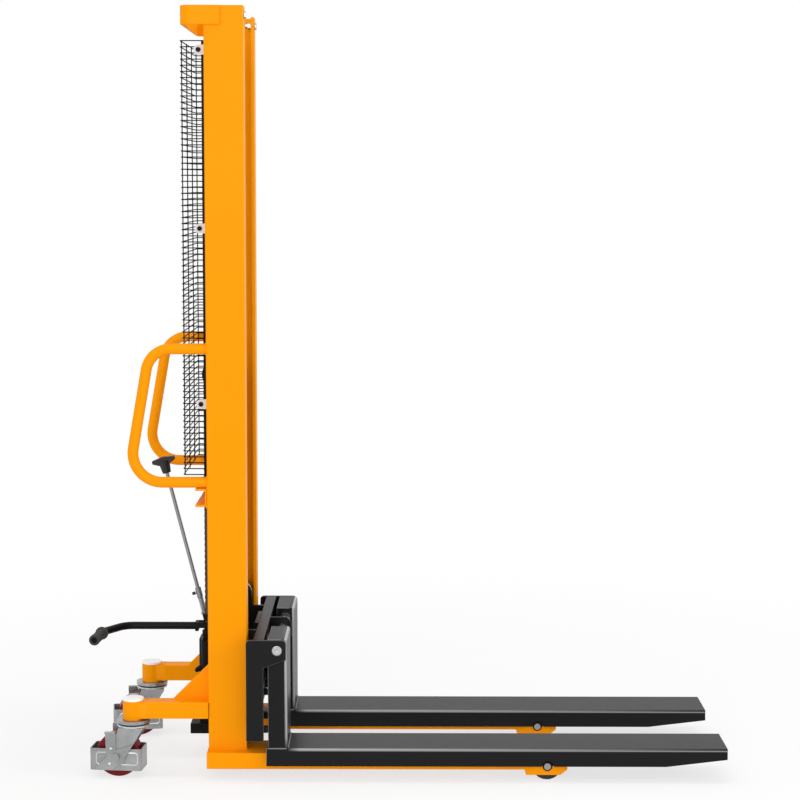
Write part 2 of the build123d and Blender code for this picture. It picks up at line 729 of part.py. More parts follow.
def bottom_bar():
    """The bar across the carriage's foot, with a pad behind each side wall of the fork shanks."""
    bar = carriage_bar((BOTTOM_BAR_REAR, CARRIAGE_GAP), (CARRIAGE_BOTTOM, BOTTOM_BAR_TOP))
    low = CARRIAGE_BOTTOM + PAD_RISE
    for y in (FORK_INNER, FORK_OUTER - PAD_WIDTH):
        pad = block((CARRIAGE_GAP, CARRIAGE_GAP + PAD_REACH), (y, y + PAD_WIDTH), (low, low + PAD_HEIGHT))
        bar += pad + mirror(pad, about=Plane.XZ)
    return bar


def centre_plate():
    """The thin plate that holds the middle of the fork shaft."""
    rear = CARRIAGE_GAP + TOP_BAR_DEPTH
    nose = SHAFT_X + CENTRE_PLATE_NOSE
    low = CARRIAGE_TOP - SIDE_PLATE_EAR
    outline = [
        (rear, CARRIAGE_TOP - TOP_BAR_HEIGHT),
        (nose, low),
        (nose, CARRIAGE_TOP - CENTRE_PLATE_CHAMFER),
        (nose - CENTRE_PLATE_CHAMFER, CARRIAGE_TOP),
        (rear, CARRIAGE_TOP),
    ]
    half = CENTRE_PLATE_WALL / 2
    return plate(outline, -half, half) - cross_rod(SHAFT_X, SHAFT_Z, FORK_SHAFT_RADIUS, -half, half)


def fork_shaft():
    """The shaft that both forks hang on, with a centre mark in each end."""
    shaft = cross_rod(SHAFT_X, SHAFT_Z, FORK_SHAFT_RADIUS, -SIDE_PLATE_OUTER, SIDE_PLATE_OUTER)
    mark_y = SIDE_PLATE_OUTER - SHAFT_DIMPLE_DEPTH / 2
    mark = Pos(SHAFT_X, mark_y, SHAFT_Z) * Rot(-90, 0, 0) * Cone(0, SHAFT_DIMPLE_RADIUS, SHAFT_DIMPLE_DEPTH)
    return shaft - mark - mirror(mark, about=Plane.XZ)


def roller_places():
    """The (x, z) places of the upper and lower mast rollers, each near the flange that it runs on."""
    middle = -MAST_DEPTH / 2
    return {
        "upper": (middle + MAST_ROLLER_SHIFT, UPPER_ROLLER_Z),
        "lower": (middle - MAST_ROLLER_SHIFT, LOWER_ROLLER_Z),
    }


def mast_roller_range():
    """The inner and outer width limits of a mast roller."""
    outer = MAST_OUTER - MAST_WEB_WALL - MAST_ROLLER_WEB_GAP
    return outer - MAST_ROLLER_WIDTH, outer


def roller_plate():
    """The plate between the masts that carries two rollers on welded pins."""
    outer = MAST_INNER - ROLLER_PLATE_GAP
    inner = outer - ROLLER_PLATE_WALL
    rear = MAST_REAR + ROLLER_PLATE_REAR
    shoulder = CARRIAGE_GAP - ROLLER_PLATE_SHOULDER
    top = UPPER_ROLLER_Z + ROLLER_PLATE_TOP
    low = LOWER_ROLLER_Z - MAST_ROLLER_RADIUS
    outline = [
        (rear, low),
        (BOTTOM_BAR_REAR, low),
        (BOTTOM_BAR_REAR, BOTTOM_BAR_TOP),
        (CARRIAGE_GAP, BOTTOM_BAR_TOP),
        (CARRIAGE_GAP, CARRIAGE_TOP),
        (shoulder, CARRIAGE_TOP),
        (shoulder - ROLLER_PLATE_LEAN, top),
        (rear, top),
    ]
    shape = plate(outline, inner, outer)
    shape = rounded(shape, [outline[6]], ROLLER_PLATE_BROW)
    shape = rounded(shape, [outline[0], outline[7]], ROLLER_PLATE_CORNER)
    roller_inner, roller_outer = mast_roller_range()
    for x, z in roller_places().values():
        shape += cross_rod(x, z, MAST_AXLE_RADIUS, inner, roller_outer)
        shape += cross_rod(x, z, MAST_AXLE_SHOULDER, outer, roller_inner - SEAT_GAP)
    return shape


def mast_roller(place):
    """A roller that runs inside a mast channel."""
    x, z = place
    inner, outer = mast_roller_range()
    wheel = cross_rod(x, z, MAST_ROLLER_RADIUS, inner, outer)
    wheel = chamfer(wheel.edges().filter_by(GeomType.CIRCLE), MAST_ROLLER_CHAMFER)
    return wheel - cross_rod(x, z, MAST_AXLE_RADIUS + RUNNING_FIT, inner, outer)


def lift_anchor():
    """The plate that ties the carriage bars together, with an arm for each chain end."""
    face = CARRIAGE_GAP - LIFT_ANCHOR_WALL
    half = LIFT_ANCHOR_HALF_WIDTH
    anchor = block((face, CARRIAGE_GAP), (-half, half), (BOTTOM_BAR_TOP, CARRIAGE_TOP))
    arm_half = CHAIN_WIDTH / 2 + PULLEY_GROOVE_GAP
    arm = block(
        (CHAIN_FRONT_X - CHAIN_HEIGHT / 2, face),
        (CHAIN_OFFSET - arm_half, CHAIN_OFFSET + arm_half),
        (LIFT_ANCHOR_Z - LIFT_ANCHOR_HEIGHT, LIFT_ANCHOR_Z),
    )
    return anchor + arm + mirror(arm, about=Plane.XZ)


def fork_blade():
    """A fork's blade, open below to drop over the leg, with its long top edges rounded before the shank."""
    heel = SHANK_REAR - HEEL_STEP
    low = FORK_TOP - FORK_SIDE_HEIGHT
    taper = FORK_TIP - TIP_TAPER
    ceiling = FORK_TOP - FORK_TOP_WALL
    tip_low = FORK_TOP - TIP_HEIGHT
    outline = [
        (SHANK_FRONT, low),
        (taper, low),
        (FORK_TIP, tip_low),
        (FORK_TIP, FORK_TOP),
        (SHANK_FRONT, FORK_TOP),
    ]
    blade = plate(outline, FORK_INNER, FORK_OUTER)
    long_edges = [edge for edge in blade.edges().filter_by(Axis.X) if edge.center().Z > ceiling]
    blade = fillet(long_edges, FORK_EDGE_RADIUS)
    blade += block((heel, SHANK_FRONT), (FORK_INNER, FORK_OUTER), (low, FORK_TOP))
    room = [
        (heel, low),
        (taper, low),
        (taper, low + TIP_WALL),
        (FORK_TIP - TIP_WALL, tip_low + TIP_WALL),
        (FORK_TIP - TIP_WALL, ceiling),
        (heel, ceiling),
    ]
    blade -= plate(room, FORK_INNER + FORK_SIDE_WALL, FORK_OUTER - FORK_SIDE_WALL)
    return blade - cross_rod(LOAD_ROLLER_X, low, NOTCH_RADIUS, FORK_INNER, FORK_OUTER)


def fork_shank():
    """A fork's shank, open to the rear, with its front edges rounded and a bush for the shaft."""
    shank = block((SHANK_REAR, SHANK_FRONT), (FORK_INNER, FORK_OUTER), (FORK_TOP, CARRIAGE_TOP))
    front_edges = shank.faces().sort_by(Axis.X)[-1].edges().sort_by(Axis.Z)[1:]
    shank = fillet(front_edges, FORK_EDGE_RADIUS)
    shank -= block(
        (SHANK_REAR, SHANK_FRONT - SHANK_WALL),
        (FORK_INNER + SHANK_WALL, FORK_OUTER - SHANK_WALL),
        (FORK_TOP, CARRIAGE_TOP - SHANK_WALL),
    )
    return shank + fork_shaft_rod(FORK_SHAFT_RADIUS + FORK_BUSH_WALL)


def fork_shaft_rod(radius):
    """A round bar on the fork shaft's axis, as wide as a fork."""
    return cross_rod(SHAFT_X, SHAFT_Z, radius, FORK_INNER, FORK_OUTER)


def fork():
    """One fork: its blade with its shank."""
    return fork_blade() + fork_shank() - fork_shaft_rod(FORK_SHAFT_RADIUS + RUNNING_FIT)


# Ram and lift chains

def ram_cylinder():
    """The tube that the ram slides in, closed below and with a gland on top."""
    shape = upright(RAM_X, 0, CYLINDER_RADIUS, CYLINDER_FOOT_Z, CYLINDER_TOP)
    gland_z = CYLINDER_TOP - GLAND_LENGTH
    shape += upright(RAM_X, 0, GLAND_RADIUS, gland_z, CYLINDER_TOP)
    shape -= upright(RAM_X, 0, CYLINDER_BORE_RADIUS, CYLINDER_FOOT_Z + CYLINDER_FLOOR, gland_z)
    return shape - upright(RAM_X, 0, RAM_RADIUS + RUNNING_FIT, gland_z, CYLINDER_TOP)


def ram_rod():
    """The ram, with a guide ring at its foot."""
    shape = upright(RAM_X, 0, RAM_RADIUS, RAM_FOOT_Z, YOKE_BOTTOM + YOKE_SOCKET)
    return shape + upright(RAM_X, 0, CYLINDER_BORE_RADIUS - RUNNING_FIT, RAM_FOOT_Z, RAM_FOOT_Z + RAM_FOOT)


def pulley_half_width():
    """Half the width of a chain pulley over its flanges."""
    return CHAIN_WIDTH / 2 + PULLEY_GROOVE_GAP + PULLEY_FLANGE


def pulley_rod(radius, y_start, y_end):
    """A round bar on the pulleys' axis."""
    return cross_rod(RAM_X, PULLEY_Z, radius, y_start, y_end)


def pulley_yoke():
    """The block on top of the ram, with the pin that both pulleys turn on."""
    block_top = PULLEY_Z + YOKE_CROWN
    shape = block(
        (RAM_X - YOKE_HALF_DEPTH, RAM_X + YOKE_HALF_DEPTH),
        (-YOKE_HALF_WIDTH, YOKE_HALF_WIDTH),
        (YOKE_BOTTOM, block_top),
    )
    pin_end = CHAIN_OFFSET + pulley_half_width() + SEAT_GAP
    shape += pulley_rod(YOKE_PIN_RADIUS, -pin_end, pin_end)
    head = pulley_rod(YOKE_PIN_HEAD_RADIUS, pin_end, pin_end + YOKE_PIN_HEAD)
    shape += head + mirror(head, about=Plane.XZ)
    return shape - upright(RAM_X, 0, RAM_RADIUS, YOKE_BOTTOM, YOKE_BOTTOM + YOKE_SOCKET)


def chain_pulley():
    """A grooved wheel for one chain."""
    half = pulley_half_width()
    groove_half = half - PULLEY_FLANGE
    low, high = CHAIN_OFFSET - half, CHAIN_OFFSET + half
    wheel = pulley_rod(PULLEY_FLANGE_RADIUS, low, high)
    groove = pulley_rod(PULLEY_FLANGE_RADIUS, CHAIN_OFFSET - groove_half, CHAIN_OFFSET + groove_half)
    groove -= pulley_rod(CHAIN_PITCH_RADIUS - CHAIN_HEIGHT / 2 - SEAT_GAP, low, high)
    return wheel - groove - pulley_rod(YOKE_PIN_RADIUS + RUNNING_FIT, low, high)


def chain_width_range():
    """The inner and outer width limits of the left chain."""
    return CHAIN_OFFSET - CHAIN_WIDTH / 2, CHAIN_OFFSET + CHAIN_WIDTH / 2


def chain_wrap():
    """The half turn of chain over a pulley."""
    low, high = chain_width_range()
    outer = CHAIN_PITCH_RADIUS + CHAIN_HEIGHT / 2
    ring = pulley_rod(outer, low, high) - pulley_rod(CHAIN_PITCH_RADIUS - CHAIN_HEIGHT / 2, low, high)
    return ring - block((RAM_X - outer, RAM_X + outer), (low, high), (PULLEY_Z - outer, PULLEY_Z))


def chain_depth_range(x):
    """The rear and front limits of an upright run of chain."""
    return x - CHAIN_HEIGHT / 2, x + CHAIN_HEIGHT / 2


def chain_run(x, foot_z):
    """A straight run of chain from its anchor up to the pulley."""
    return block(chain_depth_range(x), chain_width_range(), (foot_z, PULLEY_Z))


def frame_anchor():
    """The bracket on the ram cylinder that holds the chains' fixed ends, with an ear for each."""
    z_range = (FRAME_ANCHOR_Z - FRAME_ANCHOR_HEIGHT, FRAME_ANCHOR_Z)
    half = FRAME_ANCHOR_HALF_WIDTH
    shape = block((RAM_X - FRAME_ANCHOR_REACH, RAM_X), (-half, half), z_range)
    ear_rear = chain_depth_range(CHAIN_REAR_X)[0] - FRAME_ANCHOR_EDGE
    ear = block((ear_rear, RAM_X), (2 * CHAIN_OFFSET - half, half), z_range)
    shape += ear + mirror(ear, about=Plane.XZ)
    return shape - upright(RAM_X, 0, CYLINDER_RADIUS, *z_range)


# Pump, tank and pedal

def release_point(z):
    """The point of the release rod's line at a height."""
    share = (z - RELEASE_FOOT_Z) / (RELEASE_TOP_Z - RELEASE_FOOT_Z)
    return Vector(RELEASE_FOOT_X + share * (RELEASE_TOP_X - RELEASE_FOOT_X), RELEASE_Y, z)


def release_way():
    """The direction of the release rod, upwards."""
    return (release_point(RELEASE_TOP_Z) - release_point(RELEASE_FOOT_Z)).normalized()


def plunger_rod(radius, z_start, z_end):
    """A round bar on the plunger's axis."""
    return upright(PLUNGER_X, PLUNGER_Y, radius, z_start, z_end)


def pump_body():
    """The pump casting with its foot, plunger boss, pipe stub, pedal ear and pin, and release valve."""
    foot = block(
        (MAST_REAR - PUMP_BASE_REAR, PUMP_FACE + TANK_DEPTH),
        (-PUMP_BASE_HALF_WIDTH, PUMP_BASE_HALF_WIDTH),
        (PUMP_BASE_Z, PUMP_FLOOR_Z),
    )
    tower = block((PUMP_REAR, PUMP_FACE), (-PUMP_HALF_WIDTH, PUMP_HALF_WIDTH), (PUMP_FLOOR_Z, PUMP_TOP_Z))
    tower = fillet(tower.edges().filter_by(Axis.Z), PUMP_CORNER)
    boss_z = PUMP_TOP_Z - PUMP_BOSS_HEIGHT
    boss = plunger_rod(PUMP_BOSS_RADIUS, boss_z, PUMP_TOP_Z)
    boss += block(
        (PLUNGER_X - PUMP_BOSS_RADIUS, PLUNGER_X + PUMP_BOSS_RADIUS), (PLUNGER_Y, 0), (boss_z, PUMP_TOP_Z)
    )
    ear_low = PLUNGER_Y - PEDAL_EAR_WALL / 2
    ear_high = PLUNGER_Y + PEDAL_EAR_WALL / 2
    ear_x = (PEDAL_PIVOT_X - PEDAL_EAR_RADIUS, PEDAL_PIVOT_X + PEDAL_EAR_RADIUS)
    ear = block(ear_x, (ear_low, ear_high), (boss_z, PEDAL_Z))
    ear += cross_rod(PEDAL_PIVOT_X, PEDAL_Z, PEDAL_EAR_RADIUS, ear_low, ear_high)
    pin_reach = PEDAL_EAR_WALL / 2 + PEDAL_ARM_GAP + PEDAL_ARM_WALL
    ear += cross_rod(PEDAL_PIVOT_X, PEDAL_Z, PEDAL_PIN_RADIUS, PLUNGER_Y - pin_reach, PLUNGER_Y + pin_reach)
    valve_top = release_point(RELEASE_FOOT_Z) - release_way() * SEAT_GAP
    valve_foot = release_point(PUMP_TOP_Z - VALVE_RADIUS)
    stub_end = (PUMP_STUB_END_X, PLUNGER_Y, PUMP_STUB_END_Z)
    stub = rod((PUMP_STUB_X, PLUNGER_Y, PUMP_STUB_Z), stub_end, PUMP_STUB_RADIUS)
    stub += Pos(*stub_end) * Sphere(PUMP_STUB_RADIUS)
    body = foot + tower + boss + ear + stub + rod(valve_foot, valve_top, VALVE_RADIUS)
    body -= upright(RAM_X, 0, CYLINDER_RADIUS, CYLINDER_FOOT_Z, PEDAL_Z)
    return body - plunger_rod(PLUNGER_RADIUS + RUNNING_FIT, PUMP_TOP_Z - PLUNGER_DEPTH, PUMP_TOP_Z)


def oil_tank():
    """The tank in front of the pump, with its filler plug."""
    top = PUMP_FLOOR_Z + TANK_HEIGHT
    half = PUMP_HALF_WIDTH
    middle = PUMP_FACE + TANK_DEPTH / 2
    tank = block((PUMP_FACE, PUMP_FACE + TANK_DEPTH), (-half, half), (PUMP_FLOOR_Z, top))
    tank -= block(
        (PUMP_FACE + TANK_WALL, PUMP_FACE + TANK_DEPTH - TANK_WALL),
        (-half + TANK_WALL, half - TANK_WALL),
        (PUMP_FLOOR_Z + TANK_WALL, top - TANK_WALL),
    )
    tank -= upright(middle, 0, TANK_PLUG_RADIUS, top - TANK_WALL, top)
    plug = upright(middle, 0, TANK_PLUG_RADIUS, top - TANK_WALL, top)
    plug += hexagon_rod((middle, 0, top), (middle, 0, top + TANK_PLUG_HEAD), TANK_PLUG_HEAD_RADIUS)
    return group([tank, plug])


def pump_plunger():
    """The plunger that the pedal pushes down."""
    shape = plunger_rod(PLUNGER_RADIUS, PUMP_TOP_Z - PLUNGER_DEPTH + PLUNGER_STROKE_ROOM, PLUNGER_TOP)
    return shape + plunger_rod(PLUNGER_HEAD_RADIUS, PLUNGER_TOP - PLUNGER_HEAD, PLUNGER_TOP)


def pump_spring():
    """The spring that lifts the plunger again."""
    length = PLUNGER_TOP - PLUNGER_HEAD - PUMP_TOP_Z - 2 * SEAT_GAP
    wound = coil("pump_spring", PUMP_SPRING_RADIUS, PUMP_SPRING_WIRE, PUMP_SPRING_TURNS, length)
    return Pos(PLUNGER_X, PLUNGER_Y, PUMP_TOP_Z + SEAT_GAP) * wound


def pedal_lever():
    """The pedal: two arms on the pump's pin, a roller over the plunger, and the bent bar."""
    arm_inner = PEDAL_EAR_WALL / 2 + PEDAL_ARM_GAP
    arm_outer = arm_inner + PEDAL_ARM_WALL
    arm_low = PEDAL_Z - PEDAL_ARM_SOFFIT
    arm_high = arm_low + PEDAL_ARM_HEIGHT
    shape = block(
        (PEDAL_HEAD_X - PEDAL_HEAD_DEPTH, PEDAL_HEAD_X),
        (PLUNGER_Y - arm_outer, PLUNGER_Y + arm_outer),
        (PEDAL_Z - PEDAL_HEAD_HEIGHT / 2, PEDAL_Z + PEDAL_HEAD_HEIGHT / 2),
    )
    for side in (1, -1):
        arm_y = (PLUNGER_Y + side * arm_inner, PLUNGER_Y + side * arm_outer)
        shape += block((PEDAL_HEAD_X, PEDAL_PIVOT_X), arm_y, (arm_low, arm_high))
        shape += cross_rod(PEDAL_PIVOT_X, PEDAL_Z, PEDAL_EYE_RADIUS, *arm_y)
    hole = PEDAL_PIN_RADIUS + RUNNING_FIT
    roller_y = (PLUNGER_Y - arm_inner, PLUNGER_Y + arm_inner)
    shape -= cross_rod(PEDAL_PIVOT_X, PEDAL_Z, hole, PLUNGER_Y - arm_outer, PLUNGER_Y + arm_outer)
    shape += cross_rod(PLUNGER_X, PEDAL_ROLLER_Z, PEDAL_ROLLER_RADIUS, *roller_y)
    path = FilletPolyline(
        (PEDAL_HEAD_X - PEDAL_HEAD_DEPTH, PLUNGER_Y, PEDAL_Z),
        (PEDAL_BEND_X, PLUNGER_Y, PEDAL_Z),
        (PEDAL_ELBOW_X, PEDAL_ELBOW_Y, PEDAL_Z),
        (PEDAL_END_X, PEDAL_END_Y, PEDAL_Z),
        radius=[PEDAL_BEND_RADIUS, PEDAL_ELBOW_RADIUS],
    )
    return shape + sweep(Plane(origin=path @ 0, z_dir=path % 0) * Circle(PEDAL_BAR_RADIUS), path=path)


def pedal_grip():
    """The rubber sleeve on the end of the pedal bar, closed but for a small hole."""
    way = Vector(PEDAL_END_X - PEDAL_ELBOW_X, PEDAL_END_Y - PEDAL_ELBOW_Y, 0).normalized()
    end = Vector(PEDAL_END_X, PEDAL_END_Y, PEDAL_Z)
    start = end - way * GRIP_LENGTH
    close = end + way * GRIP_END_WALL
    sleeve = rod(start, close, GRIP_RADIUS) + rod(start, start + way * GRIP_COLLAR, GRIP_COLLAR_RADIUS)
    return sleeve - rod(start, end, PEDAL_BAR_RADIUS) - rod(end, close, GRIP_END_HOLE_RADIUS)


# Release control

def release_stops():
    """Where the washer, spring, sleeve and rod of the release follow each other, from the valve up."""
    way = release_way()
    washer_top = release_point(RELEASE_FOOT_Z) + way * RELEASE_WASHER
    sleeve_foot = washer_top + way * RELEASE_SPRING_LENGTH
    return washer_top, sleeve_foot, sleeve_foot + way * RELEASE_SLEEVE


def release_rod():
    """The long rod with its sleeve, clamp screw, spring pin and foot washer."""
    way = release_way()
    foot = release_point(RELEASE_FOOT_Z)
    washer_top, sleeve_foot, sleeve_top = release_stops()
    shape = rod(foot, washer_top, RELEASE_WASHER_RADIUS)
    shape += rod(foot, sleeve_foot, RELEASE_SPRING_RADIUS - RELEASE_SPRING_WIRE / 2 - SEAT_GAP)
    shape += rod(sleeve_foot, sleeve_top, RELEASE_SLEEVE_RADIUS)
    shape += rod(sleeve_top, release_point(RELEASE_TOP_Z), RELEASE_ROD_RADIUS)
    side_way = Vector(0, 1, 0).cross(way)
    screw_foot = (sleeve_foot + sleeve_top) * 0.5
    if side_way.X > 0:
        side_way = side_way * -1
    reach = RELEASE_SLEEVE_RADIUS + RELEASE_SCREW
    return shape + rod(screw_foot, screw_foot + side_way * reach, RELEASE_SCREW_RADIUS)


def release_spring():
    """The spring that couples the rod to the valve."""
    washer_top, sleeve_foot, _ = release_stops()
    length = RELEASE_SPRING_LENGTH - 2 * SEAT_GAP
    wound = coil("release_spring", RELEASE_SPRING_RADIUS, RELEASE_SPRING_WIRE, RELEASE_SPRING_TURNS, length)
    seat = Plane(origin=washer_top + release_way() * SEAT_GAP, x_dir=(0, 1, 0), z_dir=release_way())
    return seat.location * wound


def release_knob():
    """The wing knob on top of the rod."""
    base = Plane(origin=release_point(RELEASE_TOP_Z), x_dir=(0, 1, 0), z_dir=release_way())
    hub = base.location * Pos(0, 0, KNOB_HUB / 2) * Cone(KNOB_NECK_RADIUS, KNOB_HUB_RADIUS, KNOB_HUB)
    half = KNOB_WING_SPAN / 2
    high = KNOB_HUB + KNOB_WING_HEIGHT - KNOB_WING_DROOP
    low = high - KNOB_WING_HEIGHT - KNOB_WING_DROOP
    tip_high = high - KNOB_WING_DROOP
    tip_low = tip_high - KNOB_WING_TIP
    outline = Polygon(
        (-half, tip_low),
        (-KNOB_HUB_RADIUS, low),
        (KNOB_HUB_RADIUS, low),
        (half, tip_low),
        (half, tip_high),
        (0, high),
        (-half, tip_high),
        align=None,
    )
    wing_start = base.origin - base.x_dir * (KNOB_WING_WIDTH / 2)
    wing_plane = Plane(origin=wing_start, x_dir=base.z_dir.cross(base.x_dir), z_dir=base.x_dir)
    return hub + extrude(wing_plane * outline, amount=KNOB_WING_WIDTH)


# Castors

def castor_arm():
    """A castor's arm behind the mast: box tube, stem tube and gusset, welded together."""
    half = CASTOR_ARM_WIDTH / 2
    top = CASTOR_ARM_Z + CASTOR_ARM_HEIGHT
    wall = CASTOR_ARM_WALL
    arm = block((CASTOR_X, MAST_REAR), (CASTOR_Y - half, CASTOR_Y + half), (CASTOR_ARM_Z, top))
    arm -= block(
        (CASTOR_X, MAST_REAR),
        (CASTOR_Y - half + wall, CASTOR_Y + half - wall),
        (CASTOR_ARM_Z + wall, top - wall),
    )
    gusset = plate(
        [(MAST_REAR, top), (MAST_REAR - GUSSET_LENGTH, top), (MAST_REAR, top + GUSSET_HEIGHT)],
        CASTOR_Y - half,
        CASTOR_Y - half + GUSSET_WALL,
    )
    stem_tube = upright(CASTOR_X, CASTOR_Y, STEM_TUBE_RADIUS, STEM_TUBE_BOTTOM, STEM_TUBE_TOP)
    bore = upright(CASTOR_X, CASTOR_Y, STEM_RADIUS + RUNNING_FIT, STEM_TUBE_BOTTOM, STEM_TUBE_TOP)
    return arm + gusset + stem_tube - bore


def stem_cap():
    """The crowned cap on a stem tube."""
    cap = upright(CASTOR_X, CASTOR_Y, STEM_TUBE_RADIUS, STEM_TUBE_TOP, STEM_TUBE_TOP + STEM_CAP_HEIGHT)
    return fillet(cap.edges().group_by(Axis.Z)[-1], STEM_CAP_CROWN)


def castor_rod(radius, y_start, y_end):
    """A round bar on a castor's wheel axis."""
    return cross_rod(-CASTOR_TRAIL, CASTOR_WHEEL_RADIUS, radius, y_start, y_end)


def yoke_leg_front(z):
    """Where the front edge of a castor's leg is at a height."""
    foot = -CASTOR_TRAIL + YOKE_LEG_FOOT_RADIUS
    share = (z - CASTOR_WHEEL_RADIUS) / (CROWN_BOTTOM - CASTOR_WHEEL_RADIUS)
    return foot + share * (YOKE_LEG_TOP / 2 - foot)


def castor_yoke():
    """The stem, swivel disc, raked legs and axle of a castor, at its own stem axis."""
    race_radius = SWIVEL_RADIUS - SWIVEL_RACE_STEP
    shape = upright(0, 0, STEM_RADIUS, SWIVEL_BOTTOM, STEM_TUBE_TOP - STEM_TOP_GAP)
    shape += upright(0, 0, SWIVEL_RADIUS, SWIVEL_TOP - SWIVEL_RACE, SWIVEL_TOP)
    shape += upright(0, 0, race_radius, SWIVEL_BOTTOM, SWIVEL_TOP)
    half = YOKE_LEG_TOP / 2
    foot = YOKE_LEG_FOOT_RADIUS
    outline = [
        (-half, CROWN_BOTTOM),
        (half, CROWN_BOTTOM),
        (-CASTOR_TRAIL + foot, CASTOR_WHEEL_RADIUS),
        (-CASTOR_TRAIL - foot, CASTOR_WHEEL_RADIUS),
    ]
    shape += block((-half, half), (-YOKE_LEG_OUTER, YOKE_LEG_OUTER), (CROWN_BOTTOM, SWIVEL_BOTTOM))
    axle_end = YOKE_LEG_OUTER + GUARD_BRACKET_WALL
    side_parts = plate(outline, GUARD_RING_HALF, YOKE_LEG_OUTER)
    side_parts += castor_rod(foot, GUARD_RING_HALF, YOKE_LEG_OUTER)
    side_parts += castor_rod(CASTOR_NUT_RADIUS, axle_end, axle_end + CASTOR_NUT)
    shape += castor_rod(CASTOR_AXLE_RADIUS, -axle_end, axle_end)
    return shape + side_parts + mirror(side_parts, about=Plane.XZ)


def castor_guard():
    """The toe guard round the wheel and its brackets."""
    x_range = (-CASTOR_TRAIL - GUARD_RING_REAR, -CASTOR_TRAIL + GUARD_RING_FRONT)
    z_range = (GUARD_RING_BOTTOM, GUARD_RING_BOTTOM + GUARD_RING_HEIGHT)
    wall = GUARD_RING_WALL
    ring = block(x_range, (-GUARD_RING_HALF, GUARD_RING_HALF), z_range)
    ring = fillet(ring.edges().filter_by(Axis.Z), GUARD_RING_CORNER)
    room_half = GUARD_RING_HALF - wall
    room = block((x_range[0] + wall, x_range[1] - wall), (-room_half, room_half), z_range)
    ring -= fillet(room.edges().filter_by(Axis.Z), GUARD_RING_CORNER - wall)
    ring -= castor_rod(CASTOR_AXLE_RADIUS, -GUARD_RING_HALF, GUARD_RING_HALF)
    axle = -CASTOR_TRAIL
    low = GUARD_RING_BOTTOM + wall
    ear_z = CASTOR_WHEEL_RADIUS + GUARD_BRACKET_EAR
    top_left = axle - GUARD_BRACKET_WIDTH
    outline = [
        (axle - GUARD_BRACKET_FOOT, low),
        (axle - GUARD_BRACKET_FOOT_START, low),
        (axle + YOKE_LEG_FOOT_RADIUS, CASTOR_WHEEL_RADIUS),
        (yoke_leg_front(ear_z), ear_z),
        (axle, CASTOR_WHEEL_RADIUS + GUARD_BRACKET_NECK),
        (axle, GUARD_BRACKET_TOP),
        (top_left, GUARD_BRACKET_TOP),
        (top_left, GUARD_BRACKET_TOP - GUARD_BRACKET_SHOULDER),
        (axle - GUARD_BRACKET_WAIST, CASTOR_WHEEL_RADIUS),
    ]
    y_range = (YOKE_LEG_OUTER, YOKE_LEG_OUTER + GUARD_BRACKET_WALL)
    bracket = plate(outline, *y_range) - castor_rod(CASTOR_AXLE_RADIUS, *y_range)
    tab_y = (y_range[1], y_range[1] + GUARD_BRACKET_TAB)
    bracket += block((top_left, axle), tab_y, (GUARD_BRACKET_TOP - GUARD_BRACKET_WALL, GUARD_BRACKET_TOP))
    foot_top = CASTOR_WHEEL_RADIUS - YOKE_LEG_FOOT_RADIUS - SEAT_GAP
    spacer_y = (GUARD_RING_HALF, YOKE_LEG_OUTER)
    bracket += plate(outline, *spacer_y) & block(x_range, spacer_y, (low, foot_top))
    return ring + bracket + mirror(bracket, about=Plane.XZ)


def castor_core():
    """The wheel's dished core."""
    half = CASTOR_WHEEL_WIDTH / 2
    core = castor_rod(CASTOR_CORE_RADIUS, -half, half)
    dish = castor_rod(CASTOR_CORE_RADIUS - CASTOR_CORE_RIM, half - CASTOR_CORE_DISH, half)
    dish -= castor_rod(CASTOR_HUB_RADIUS, half - CASTOR_CORE_DISH, half)
    core -= dish + mirror(dish, about=Plane.XZ)
    return core - castor_rod(CASTOR_AXLE_RADIUS + RUNNING_FIT, -half, half)


def castor_tyre():
    """The wheel's crowned tyre."""
    half = CASTOR_WHEEL_WIDTH / 2
    tyre = castor_rod(CASTOR_WHEEL_RADIUS, -half, half)
    tyre = fillet(tyre.edges().filter_by(GeomType.CIRCLE), CASTOR_TYRE_CROWN)
    return tyre - castor_rod(CASTOR_CORE_RADIUS, -half, half)


def castor_place(side):
    """Where a castor stands and which way it is turned."""
    turn = CASTOR_TURN_LEFT if side > 0 else CASTOR_TURN_RIGHT
    return Pos(CASTOR_X, side * CASTOR_Y, 0) * Rot(0, 0, turn)


